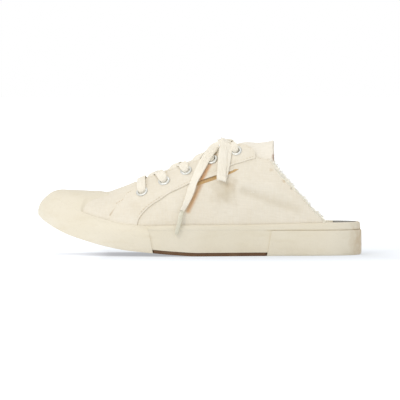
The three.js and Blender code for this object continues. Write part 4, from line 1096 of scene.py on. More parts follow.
def seen_line(rows: Array, side: Side, offset: float, count: int) -> tuple[Array, Array]:
    """A line given by alongs and heights, as angles from the toe (always positive) and lifts."""
    points = np.stack([LAST.x(rows[:, 0]), rows[:, 1] * LAST.instep], -1)
    at = np.linspace(0, 1, count)
    chord = np.r_[0, np.cumsum(np.linalg.norm(np.diff(points, axis=0), axis=1))]
    chord = chord / chord[-1]
    x, z = (Curve(chord, points[:, i])(at) for i in (0, 1))
    angle, lift = LAST.seen(x, z, side, offset)
    return np.abs(angle), lift


def cloth_uv(points: Array, side: Side) -> Array:
    """A map in metres that follows the cloth: U along the shoe, V up the side and in towards the ridge."""
    return np.stack([points[..., 0], points[..., 2] - side.value * points[..., 1]], -1) * MM


class Border:
    """A line on the shoe's side as a height over x, below which (or above which) a cloth lies."""

    def __init__(self, rows: Array, ahead: float, behind: float) -> None:
        """Takes alongs and shares of the instep's height, and the heights ahead of them and behind."""
        self.line = Curve(LAST.x(rows[:, 0]), rows[:, 1] * LAST.instep)
        self.ahead, self.behind = ahead, behind

    def __call__(self, x: Array) -> Array:
        """The height at x."""
        at = self.line.at
        return np.where(x < at[0], self.ahead, np.where(x > at[-1], self.behind, self.line(x)))


collar_line, front_line = Border(COLLAR, FAR, -FAR), Border(FRONT_SEAM, -FAR, FAR)
back_line = Border(BACK_SEAM, -FAR, FAR)


def lift_where(turn: Array, offset: float, below: Callable[[Array], Array]) -> Array:
    """The highest lift at each signed angle up to which the swollen last's point fulfils a condition."""
    return LAST._halve(lambda s: below(LAST.off(turn, s, np.full(turn.shape, offset))), turn)


def in_canvas(p: Array) -> Array:
    """Whether points lie outside the throat and below the collar's cut."""
    x, y, z = p[..., 0], p[..., 1], p[..., 2]
    return (np.abs(y - LAST.ridge_y(x)) > throat_half(LAST.along(x)) * (LAST.along(x) > 0.3)) & (z < collar_line(x))


@dataclass
class Upper:
    """The canvas, its eyelet panels, the toe cap, the tongue, the stitches and the frayed cut."""

    wall: float = 1.8
    gap: float = 0.3
    panel: float = 1.1
    cap: float = 1.5
    tongue: float = 2.2
    tongue_gap: float = 0.4
    pitch: float = 3.0  # of the stitches
    holes: list[tuple[Array, Array]] = field(default_factory=list)

    def clear_of_holes(self, points: Array, radius: float) -> Array:
        """Which cells of a grid stay: those whose middle is further than radius from every eyelet's axis."""
        middle = (points[:-1, :-1] + points[1:, 1:] + points[1:, :-1] + points[:-1, 1:]) / 4
        keep = np.ones(middle.shape[:2], bool)
        for centre, axis in self.holes:
            d = middle - centre
            along = d @ axis
            keep &= (np.linalg.norm(d - along[..., None] * axis, axis=2) > radius) | (np.abs(along) > 12)
        return keep

    def canvas(self) -> None:
        """One wall of cloth, both sides welded along the ridge and the toe."""
        shape = Shape()
        share = eased(54, 0.02)
        angle = np.unique(np.r_[np.linspace(0, 2.44, 300), np.linspace(1.13, 1.17, 24)])
        for side in Side:
            high = lift_where(-side.value * angle, self.wall, in_canvas)
            shown = high > 0.02
            angle_shown, high = angle[shown], high[shown]
            lift = share[:, None] * high
            angle, whole = angle_shown, angle
            turn = np.broadcast_to(-side.value * angle, lift.shape)
            base, normal = LAST.point(turn, lift), LAST.normal(turn, lift)
            relief = creased(base, side) * (1 - smooth(lift, 0.93, 1))
            cut = smooth(angle, LAST.angle(0.3), LAST.angle(0.303))
            distance = edge_distance(base + normal, ["last"])
            half = self.wall / 2 * (1 - cut) + cut * rolled(distance, self.wall, 0.8)
            half = np.where(distance <= 1e-9, 0.25 * cut + (1 - cut) * half, half)
            middle = self.wall / 2 + relief
            top, bottom = (base + normal * (middle + sign * half)[..., None] for sign in (1, -1))
            keep = self.clear_of_holes(top, 4.3)
            joined = ["low"]
            shape.thin(top, bottom, cloth_uv(base, side), keep, joined, (0, 1), flip=side is Side.MEDIAL)
            angle = whole
        shape.build("upper_dressed", [CANVAS, LINING], "canvas", ["upper"], 70)

    def panel_edges(self, side: Side) -> tuple[Array, Array, Array]:
        """Angles, lower lifts and upper lifts of the eyelet panel: between the seams, then up to the throat."""
        offset = self.wall + self.gap + self.panel
        angle = np.linspace(float(LAST.angle(0.212)), float(LAST.angle(0.69)), 300)
        turn = -side.value * angle
        high = lift_where(turn, offset, lambda p: in_canvas(p) & (p[..., 2] < front_line(p[..., 0])))
        low = lift_where(turn, offset, lambda p: (p[..., 2] < LAST.rim(p[..., 0]) - 1.2)
                         | (p[..., 2] < back_line(p[..., 0])))
        shown = high > low + 0.002
        return angle[shown], low[shown], high[shown]

    def eyestay(self, side: Side) -> None:
        """A panel with rolled edges and a dent along its stitches."""
        angle, low, high = self.panel_edges(side)
        share = eased(44, 0.06)
        lift = low + share[:, None] * (high - low)
        turn = np.broadcast_to(-side.value * angle, lift.shape)
        base, normal = LAST.point(turn, lift), LAST.normal(turn, lift)
        distance = edge_distance(base + 3 * normal, ["first", "last", "low", "high"])
        under = self.wall + 0.02
        thick = self.panel + self.gap
        half = rolled(distance, thick, 0.9)
        dent = -0.14 * np.exp(-((distance - 2.1) / 0.6) ** 2)
        relief = creased(base, side) * (1 - smooth(lift, 0.93, 1))
        middle = under + thick / 2 + relief
        top = base + normal * (middle + half + dent * smooth(half, 0.2, 0.6))[..., None]
        bottom = base + normal * (middle - half)[..., None]
        shape = Shape()
        shape.thin(top, bottom, cloth_uv(base, side), self.clear_of_holes(top, 4.3), flip=side is Side.MEDIAL)
        shape.build(f"eyestay_{side.label}_dressed", [CANVAS], "canvas", [f"eyestay_{side.label}"], 70)

    def toe_cap(self) -> None:
        """The rubber over the toe, one grid from the lateral edge over the ridge to the medial edge."""
        offset = self.wall + self.gap + self.cap
        grids = {}
        for side in Side:
            back = seen_line(CAP_BACK, side, offset, 60)
            angle = np.r_[np.linspace(0, back[0][-1] - 0.02, 70), np.linspace(back[0][-1] - 0.018, back[0][-1], 16)]
            x = LAST.outline(-side.value * angle, 3)[:, 0]
            rim = LAST.seen(x, LAST.rim(x) - 1.0, side, offset, False)[1]
            rim = LAST._halve(lambda s: LAST.off(-side.value * angle, s, np.full(angle.shape, offset))[:, 2]
                              < LAST.rim(LAST.off(-side.value * angle, s, np.full(angle.shape, offset))[:, 0]) - 0.6, angle)
            low = np.minimum(np.maximum(np.interp(angle, back[0], back[1], left=-1), rim), 1)
            grids[side] = (angle, low, rim)
        angle = np.linspace(0, min(grids[s][0][-1] for s in Side), 90)
        halves = []
        for side in Side:
            low, rim = (np.interp(angle, grids[side][0], grids[side][i]) for i in (1, 2))
            share = eased(30, 0.05)
            lift = low + share[:, None] * (1 - low)
            turn = np.broadcast_to(-side.value * angle, lift.shape)
            halves.append((LAST.point(turn, lift), LAST.normal(turn, lift), lift, low > rim + 1e-3,
                           smooth(low - rim, 0.0, 0.012)))
        (a, an, _, al, af), (m, mn, _, ml, mf) = halves
        base, normal = (np.concatenate([p, q[-2::-1]]) for p, q in ((a, m), (an, mn)))
        free = np.concatenate([np.broadcast_to(al, a.shape[:2]), np.broadcast_to(ml, m.shape[:2])[:-1]])
        distance = edge_distance(base + 3 * normal, ["first", "last", "high"])
        thick = self.cap + self.gap - 0.02
        half = np.where(free, rolled(distance, thick, 4.0), thick / 2)
        half = np.minimum(half, rolled(edge_distance(base, ["high"]), thick, 2.5))
        middle = self.wall + 0.02 + thick / 2
        lean = 0.5 * (1 - smooth(distance, 0, 1.4)) * ~free
        loose = np.concatenate([np.broadcast_to(af, a.shape[:2]), np.broadcast_to(mf, m.shape[:2])[:-1]])
        behind = np.minimum(edge_distance(base, ["first", "last"]) + 30 * (1 - loose), edge_distance(base, ["high"]))
        lean = lean + 1.7 * (1 - smooth(behind, 0, 13))
        shape = Shape()
        shape.thin(base + normal * (middle + half - lean)[..., None],
                   base + normal * (middle - half - lean)[..., None], joined=("low",))
        shape.build("toe_cap_dressed", [RUBBER], "rubber", ["toe_cap"], 60)

    def tongue_piece(self) -> None:
        """Padded cloth under the throat: lower beneath the panels, with a stitched hem at its end."""
        along = np.r_[np.linspace(0.272, 0.70, 150), 0.7 + 0.0315 * eased(30, 0.2)[6:]]
        across = 2 * eased(70, 0.03) - 1
        x = np.broadcast_to(LAST.x(along)[None], (len(across), len(along)))
        half_width = tongue_half(along) * (1 - 0.22 * smooth(along, 0.72, 0.7315) ** 2)
        angle, lift = LAST.beside(x, across[:, None] * half_width)
        base, normal = LAST.point(angle, lift), LAST.normal(angle, lift)
        lifted = smooth(np.abs(across[:, None]) * half_width, throat_half(along) - 1.5, throat_half(along) + 3.5)
        free = smooth(along, 0.625, 0.66)
        sunk = -1.3 * lifted * (1 - free)
        distance = edge_distance(base, ["first", "last", "low", "high"])
        half = rolled(distance, self.tongue, 1.4)
        hem = -0.35 * np.exp(-((distance - 3.2) / 0.6) ** 2) + 0.25 * np.exp(-((distance - 1.6) / 1.2) ** 2)
        quilt = 0.25 * np.sin(x / 6.0) * np.sin(across[:, None] * 9) * smooth(distance, 3, 9)
        middle = -self.tongue_gap - self.tongue / 2 + sunk
        top = base + normal * (middle + half + (hem + quilt) * smooth(half, 0.5, 1.05))[..., None]
        bottom = base + normal * (middle - half)[..., None]
        shape = Shape()
        shape.thin(top, bottom, marks=(0, 1))
        shape.build("tongue_dressed", [TONGUE_CLOTH, LINING], "canvas", ["tongue"], 70)

    def stitches(self) -> None:
        """Rows of sewn thread along the panels' edges."""
        thread = Stitching(self.pitch)
        for side in Side:
            angle, low, high = self.panel_edges(side)
            offset = self.wall + self.gap + self.panel
            back = LAST.off(-side.value * angle, low, np.full(angle.shape, offset))
            rim = LAST.rim(back[:, 0])
            lines = []
            above = back[:, 2] > rim + 1.5
            lines.append((angle[above], low[above], 1))
            top = LAST.off(-side.value * angle, high, np.full(angle.shape, offset))
            shown = top[:, 2] > rim + 1.5
            lines.append((angle[shown], high[shown], -1))
            for turn, lift, way in lines:
                for inset in (2.1,):
                    thread.follow(-side.value * turn, lift, offset - 0.3, inset, way * side.value, side)
        thread.build("panel_stitches", THREAD, "canvas")

    def bartacks(self) -> None:
        """Dense short tacks of brown thread: at the panel's front corner and under the collar's corner."""
        thread = Stitching(1.7, 1.1, 0.22)
        offset = self.wall + self.gap + self.panel
        for side in Side:
            for start, end in (((-78.2, 48.8), (-71.6, 52.5)), ((56.0, 90.6), (63.8, 89.2))):
                x, z = (np.linspace(start[i], end[i], 12) for i in (0, 1))
                level = offset if start[0] < 0 else self.wall
                angle, lift = LAST.seen(x, z, side, level)
                thread.follow(angle, lift, level - 0.1, 0.0, 1, side)
        thread.build("bartacks", BROWN_THREAD, "canvas")

    def gape(self, side: Side) -> None:
        """The strip of canvas under the panel's seam, whose lower edge stands off, with a tan sheet below it: partly
        lining seen in the gap, partly painted shade there.
        """
        x = np.linspace(-7.5, 36.5, 96)
        band = Curve([-7.5, -0.6, 13.9, 28.4, 34, 36.5], [65.3, 67.5, 72.2, 77.3, 79.7, 80.6])(x)
        wide = 1.5 * smooth(x, -7.5, -3.5) * (1 - 0.35 * smooth(x, 22, 30)) * (1 - smooth(x, 32.5, 36.5))
        share = eased(16, 0.12)[:, None]
        level = np.full(x.shape, self.wall)

        def sheet(low: Array, high: Array, rise: Array, thick: float, shown: Array, name: str,
                  cloth: bpy.types.Material) -> None:
            z = low + share * (high - low)
            angle, lift = LAST.seen(np.broadcast_to(x, z.shape), z, side, self.wall)
            base, normal = LAST.point(angle, lift), LAST.normal(angle, lift)
            relief = creased(base, side) * (1 - smooth(lift, 0.93, 1))
            half = rolled(edge_distance(base, ["first", "low", "high"]), thick, 0.4) * shown
            middle = self.wall + relief + rise + thick / 2 * shown
            shape = Shape()
            shape.thin(base + normal * (middle + half)[..., None], base + normal * (middle - half)[..., None],
                       cloth_uv(base, side), flip=side is Side.MEDIAL)
            shape.build(f"{name}_{side.label}", [cloth], "canvas")

        fade = smooth(x, -7.5, -1) * (1 - smooth(x, 24, 35))
        sheet(band - wide, band + wide + 0.4, 0.02 + 0 * share, 0.18, 1 + 0 * fade, "gap_lining", TAN_LINING_AND_SHADE)
        sheet(band + wide, band + wide + 6.6, 1.3 * fade * (1 - smooth(share, 0, 1)) - 0.5 * (1 - fade), 0.7, 0.05 + 0.95 * fade,
              "gap_flap", CANVAS)

    def fringe(self) -> None:
        """Short loose threads along the cut collar, each a bent three-sided strand."""
        rng = np.random.default_rng(11)
        shape = Shape()
        for side in Side:
            angle, lift = seen_line(COLLAR[7:], side, self.wall, 2000)
            keep = np.linspace(0, 1999, 1100).astype(int)
            angle, lift = angle[keep], lift[keep]
            line = LAST.off(-side.value * angle, lift, np.full(angle.shape, 0.9))
            normal = LAST.normal(-side.value * angle, lift)
            run = unit(np.gradient(line, axis=0))
            out = unit(np.cross(run, normal)) * (1 if side is Side.LATERAL else -1)
            out = np.where((out[:, 2:] + out[:, :1]) > 0, out, -out)
            count = len(line)
            jitter = rng.normal(size=(count, 8))
            start = line + normal * (0.75 * jitter[:, :1].clip(-1, 1)) + run * (0.3 * jitter[:, 1:2]) - out * 0.8
            clump = 1 + 0.55 * np.sin(1.9 * line[:, 0]) * np.sin(0.73 * line[:, 0] + 1)
            reach = np.abs(1.45 + 0.75 * jitter[:, 2]).clip(0.5, 5.0) * clump
            for place, width, more in ((70, 3.0, 1.7), (77.5, 2.4, 1.6), (84, 2.0, 1.3), (97, 2, 1.0), (106, 1.6, 0.9), (113, 3, 0.9)):
                reach = reach * (1 + more * np.exp(-((line[:, 0] - place) / width) ** 2))  # tufts
            aim = unit(out + run * (0.45 * jitter[:, 3:4]) + normal * (0.3 * jitter[:, 4:5] + 0.1))
            bend = (run * 1.1 * jitter[:, 5:6] + normal * 0.8 * jitter[:, 6:7] + np.array([0, 0, -0.5])) * 0.8
            s = np.linspace(0, 1, 7)
            path = (start[:, None] + aim[:, None] * ((reach + 0.8)[:, None] * s)[..., None]
                    + bend[:, None] * ((reach[:, None] * np.sin(2.2 * s) ** 2 * s)[..., None]))
            radius = 0.2 * (1 - 0.4 * s)
            turn = np.linspace(0, TURN, 4)
            east = unit(np.cross(aim, normal))[:, None, None]
            north = np.cross(aim[:, None, None], east)
            ring = east * np.cos(turn)[:, None] + north * np.sin(turn)[:, None]
            points = path[:, :, None] + ring * radius[None, :, None, None]
            tip = path[:, -1:, None] + 0 * points[:, -1:]
            foot = path[:, :1, None] + 0 * points[:, :1]
            tube = np.concatenate([foot, points, tip], 1)
            rows, columns = tube.shape[1:3]
            quads = (grid_quads(rows, columns)[None] + (np.arange(count) * rows * columns)[:, None, None]).reshape(-1, 4)
            shape.put(tube, np.zeros(tube.shape[:-1] + (2,)), quads)
        piece = shape.build("collar_fringe", [FRAYED], "canvas")
        return piece

    def make(self) -> None:
        """All pieces of the upper."""
        self.canvas()
        for side in Side:
            self.eyestay(side)
        self.toe_cap()
        self.tongue_piece()
        self.gape(Side.LATERAL)
        self.stitches()
        self.bartacks()
        self.fringe()


@dataclass
class Stitching:
    """Sewn thread: each stitch a small bead of thread that dips into the cloth at both ends."""

    pitch: float = 3.0
    length: float = 2.3
    radius: float = 0.3
    frames: list[Array] = field(default_factory=list)

    def follow(self, angle: Array, lift: Array, offset: float, inset: float, way: int, side: Side) -> None:
        """Lays a row beside a line of the last.

        Args:
            angle: The line's angles. lift: Its lifts. offset: The cloth's face. inset: How far beside the line.
            way: To which side of the line. side: The shoe's side; not used.
        """
        line = LAST.off(angle, lift, np.full(angle.shape, offset))
        normal = LAST.normal(angle, lift)
        arc = np.r_[0, np.cumsum(np.linalg.norm(np.diff(line, axis=0), axis=1))]
        at = np.arange(self.pitch / 2, arc[-1], self.pitch)
        line, normal = (np.stack([np.interp(at, arc, v[:, i]) for i in range(3)], -1) for v in (line, normal))
        run = unit(np.gradient(line, axis=0))
        normal = unit(normal - run * np.sum(normal * run, 1, keepdims=True))
        across = np.cross(normal, run) * -way
        self.frames.append(np.stack([line + across * inset, run, normal], 1))

    def build(self, name: str, material: bpy.types.Material, slot: str) -> bpy.types.Object:
        """One mesh of all stitches: rings round a short arched line, closed at both ends."""
        frames = np.concatenate(self.frames)
        place, run, normal = (frames[:, None, None, i] for i in range(3))
        s = np.linspace(-1, 1, 7)[:, None]
        turn = np.linspace(0, TURN, 7)[None]
        thick = self.radius * np.sqrt(np.clip(1 - s**4, 0, 1))
        side = np.cross(run, normal)
        tube = (place + run * (self.length / 2 * s + 0 * turn)[..., None]
                + normal * (0.12 - 0.45 * s**2 + thick * np.sin(turn))[..., None]
                + side * (thick * 1.25 * np.cos(turn))[..., None])
        rows, columns = tube.shape[1:3]
        quads = (grid_quads(rows, columns)[None]
                 + (np.arange(len(frames)) * rows * columns)[:, None, None]).reshape(-1, 4)
        shape = Shape()
        shape.put(tube, np.zeros(tube.shape[:-1] + (2,)) + np.broadcast_to(s * MM, tube.shape[1:3])[..., None], quads)
        return shape.build(name, [material], slot)


# Eyelets and laces


@dataclass
class Eyelets:
    """Ten pressed metal eyelets."""

    radius: float = 5.6
    hole: float = 3.2
    wall: float = 0.45
    crown: float = 0.9
    offset: float = 3.2  # the panel's face over the last

    def places(self) -> dict[str, dict[str, Any]]:
        """Where each sits: as seen on the lateral side, and as far from the ridge on the medial side."""
        x, z = LAST.x(EYELETS[:, 0]), EYELETS[:, 1] * LAST.instep
        angle, lift = LAST.seen(x, z, Side.LATERAL, self.offset, False)
        seat = LAST.off(angle, lift, np.full(angle.shape, self.offset))
        reach = LAST.ridge_y(seat[:, 0]) - LAST.point(angle, lift)[:, 1]
        found = {}
        for side in Side:
            angle, lift = LAST.beside(x, side.value * reach)
            point = LAST.off(angle, lift, np.full(angle.shape, self.offset))
            normal = LAST.normal(angle, lift)
            for row in range(len(x)):
                found[f"eyelet_{side.label}_{row + 1}"] = {
                    "point": point[row], "normal": normal[row], "reach": reach[row], "side": side, "row": row}
        return found

    def make(self, places: dict[str, dict[str, Any]]) -> None:
        """Each a profile turned round its axis: a domed flange, a rolled lip, a barrel and a washer inside."""
        r, h, w, c = self.radius, self.hole, self.wall, self.crown
        profile = np.array([
            [r - 0.1, 0.15], [r, 0.3], [r, 0.5], [r - 0.25, 0.75], [r - 0.7, 1.0], [r - 1.15, c + 0.3],
            [h + 0.95, c + 0.3], [h + 0.45, c + 0.12], [h + 0.12, 0.75], [h, 0.3], [h, -3.0], [h + 0.25, -3.35],
            [h + 0.9, -3.5], [h + 1.6, -3.5], [h + 1.6, -3.75], [h + 0.8, -3.85], [h + w, -3.7], [h + w, -3.2],
            [h + w, 0.1], [r - 0.1, 0.15]])
        turn = np.linspace(0, TURN, 41)
        for name, place in places.items():
            axis = place["normal"]
            east = unit(np.cross(axis, [1.0, 0, 0]))
            north = np.cross(axis, east)
            ring = east * np.cos(turn)[:, None] + north * np.sin(turn)[:, None]
            points = place["point"] + ring[None] * profile[:, :1, None] + axis * profile[:, 1:, None]
            shape = Shape()
            shape.grid(points)
            shape.build(name + "_dressed", [NICKEL], "nickel", [name], 50)


@dataclass
class Ribbon:
    """A flat woven lace: a rounded flat section carried along a path."""

    width: float = 8.5
    thickness: float = 1.2

    def tube(self, path: Array, across: Array, width: Any = None, thickness: Any = None, sides: int = 20) -> Shape:
        """Carries the section along the path.

        The section is a superellipse, half the width across and half the thickness up; its ends are closed.

        Args:
            path: Points. across: The direction of the width at each. width: Widths. thickness: Thicknesses.
            sides: Points round the section.

        Returns:
            The shape, its U once round the section and its V along the lace in metres.
        """
        width = np.broadcast_to(self.width if width is None else width, len(path))
        thickness = np.broadcast_to(self.thickness if thickness is None else thickness, len(path))
        run = unit(np.gradient(path, axis=0))
        across = unit(across - run * np.sum(across * run, 1, keepdims=True))
        face = np.cross(run, across)
        turn = np.linspace(0, TURN, sides + 1)
        flat = np.sign(np.cos(turn)) * np.abs(np.cos(turn)) ** 0.75
        rise = np.sign(np.sin(turn)) * np.abs(np.sin(turn)) ** 0.8
        ring = (path[:, None] + across[:, None] * (flat * width[:, None] / 2)[..., None]
                + face[:, None] * (rise * thickness[:, None] / 2)[..., None])
        ends = [np.broadcast_to(p, (1, sides + 1, 3)) for p in (path[0], path[-1])]
        points = np.concatenate([ends[0], ring, ends[1]])
        arc = np.r_[0, 0, np.cumsum(np.linalg.norm(np.diff(path, axis=0), axis=1))]
        arc = np.r_[arc, arc[-1]] * MM
        uv = np.stack([np.broadcast_to(flat / 2 + 0.5, points.shape[:2]),
                       np.broadcast_to(arc[:, None], points.shape[:2])], -1)
        shape = Shape()
        shape.grid(points, uv)
        return shape


@dataclass
class Lacing:
    """The lace through the eyelets: a bar at the bottom, then crossings that come up from under one panel."""

    ribbon: Ribbon = field(default_factory=Ribbon)
    space: float = 0.4
    tongue_gap: float = 0.4
    panel_face: float = 3.2
    crown: float = 0.9
    gap: float = 0.3

    def height(self, x: Array, distance: Array, reach: float) -> Array:
        """The lace's height over the last, at a distance from the ridge: tongue, panel, then eyelet."""
        half = self.ribbon.thickness / 2
        over_tongue = self.space - self.tongue_gap + half
        over_panel = self.panel_face + self.space + half
        edge = throat_half(LAST.along(x - self.ribbon.width / 2))
        s = np.clip((distance - 0.25 * edge) / (0.75 * edge - 1), 0, 1)
        climbed = over_tongue + (over_panel - over_tongue) * s * s * (3 - 2 * s)
        end = np.maximum(edge - 1, reach - 5.6)
        s = np.clip((distance - edge + 4) / np.maximum(end - edge + 4, 1e-6), 0, 1)
        return climbed + (over_panel + self.gap + self.crown - climbed) * s * s * (3 - 2 * s)

    def strand(self, x: Array, distance: Array, height: Array, width: Array, thick: Array) -> Shape:
        """A strand whose middle runs at distances from the ridge and heights over the last."""
        angle, lift = LAST.beside(x, distance)
        normal = LAST.normal(angle, lift)
        path = LAST.point(angle, lift) + normal * height[:, None]
        flat = np.stack([x, LAST.ridge_y(x) + distance, 0 * x], -1)
        run = unit(np.broadcast_to(flat[-1] - flat[0], flat.shape))
        return self.ribbon.tube(path, np.cross(normal, run), width, thick)

    def into_hole(self, x: float, reach: float, top: float, count: int = 14) -> tuple[Array, Array, Array, Array, Array]:
        """The last stretch over the flange's lip and down the barrel, gathered narrow."""
        s = np.linspace(0, 1, count)
        bend = np.clip(s / 0.55, 0, 1) * math.pi / 2
        distance = reach - 2.6 + 2.6 * np.sin(bend)
        height = top - 2.6 * (1 - np.cos(bend)) - 5.5 * np.clip((s - 0.55) / 0.45, 0, 1)
        width = 8.5 + (5.9 - 8.5) * smooth(s, 0.0, 0.55)
        thick = 1.2 + (3.8 - 1.2) * smooth(s, 0.15, 0.7)
        return np.full(count, x), distance, height, width, thick

    def bar(self, places: dict[str, dict[str, Any]]) -> None:
        """The straight bar between the two lowest eyelets, in at both ends."""
        near = places["eyelet_lateral_1"]
        reach, x = near["reach"], float(LAST.x(EYELETS[0, 0]))
        s = np.linspace(-1, 1, 61) * (reach - 2.6)
        height = self.height(np.full(61, x), np.abs(s), reach)
        hx, hd, hh, hw, ht = self.into_hole(x, reach, float(height[-1]))
        join = lambda a, b, c: np.r_[a[:0:-1], b, c[1:]]
        self.strand(join(hx, np.full(61, x), hx), join(-hd, s, hd), join(hh, height, hh),
                    join(hw, np.full(61, 8.5), hw), join(ht, np.full(61, 1.2), ht)
                    ).build("lace_bar_dressed", [LACE], "lace", ["lace_bar"])

    def crossing(self, row: int, places: dict[str, dict[str, Any]]) -> None:
        """Two strands, each from inside under one panel, over the tongue and into the other side's eyelet."""
        both = Shape()
        for side in Side:
            place, before = places[f"eyelet_{side.label}_{row + 1}"], places[f"eyelet_{side.label}_{row}"]
            dive_x = float(LAST.x(0.35 * EYELETS[row, 0] + 0.65 * EYELETS[row - 1, 0]))
            end_x = float(LAST.x(EYELETS[row, 0]))
            dive = float(throat_half(LAST.along(dive_x))) - self.ribbon.width / 2 - 1
            reach = float(place["reach"])
            s = np.linspace(0, 1, 56)
            full = (reach + dive) / (reach - 2.6 + dive)
            x = dive_x + (end_x - dive_x) * s / full
            distance = -dive + (reach - 2.6 + dive) * s
            height = self.height(x, distance, reach) + (0.75 if side is Side.MEDIAL else 0.0) * np.exp(
                -((distance + 1) / 6) ** 2) * 1.6
            hx, hd, hh, hw, ht = self.into_hole(end_x, reach, float(height[-1]))
            hx = hx + (x[-1] - end_x) * (1 - smooth(np.linspace(0, 1, len(hx)), 0, 0.5))
            u = np.linspace(1, 0, 16)[:-1]
            slope = (end_x - dive_x) / (reach + dive)
            under = 9.5 * u
            ux, ud = dive_x - slope * under, -dive - under
            uh = float(height[0]) - 2.0 * smooth(u, 0.0, 0.45)
            whole = [np.r_[a, b, c[1:]] for a, b, c in (
                (ux, x, hx), (ud, distance, hd), (uh, height, hh),
                (np.full(15, 8.5), np.full(56, 8.5), hw), (np.full(15, 1.1), np.full(56, 1.2), ht))]
            whole[1] = whole[1] * side.value
            one = self.strand(*whole)
            for points, uv, quads, marks in zip(one.points, one.maps, one.quads, one.marks):
                both.put(points, uv, quads)
        both.build(f"lace_cross_{row}_dressed", [LACE], "lace", [f"lace_cross_{row}"])

    def make(self, places: dict[str, dict[str, Any]]) -> None:
        """The bar and the four crossings."""
        self.bar(places)
        for row in range(1, 5):
            self.crossing(row, places)


LACE_END = np.array([[.551, .972, .4], [.537, .925, .42], [.5228, .87, .4], [.4997, .7515, .2], [.4806, .637, .1],
                     [.4643, .5045, .1], [.4525, .43, .14], [.4462, .398, .18]])
AGLET = np.array([[.4459, .394, .19], [.4373, .293, .3], [.429, .196, .3]])
LACE_LOOP = np.array([[.578, .992, .56], [.574, .94, .56], [.571, .87, .52], [.569, .79, .5], [.567, .72, .5],
                      [.5662, .685, .5], [.5675, .668, .37], [.57, .69, .22], [.576, .76, .22], [.581, .83, .22],
                      [.585, .9, .26], [.588, .955, .32], [.589, .985, .4]])


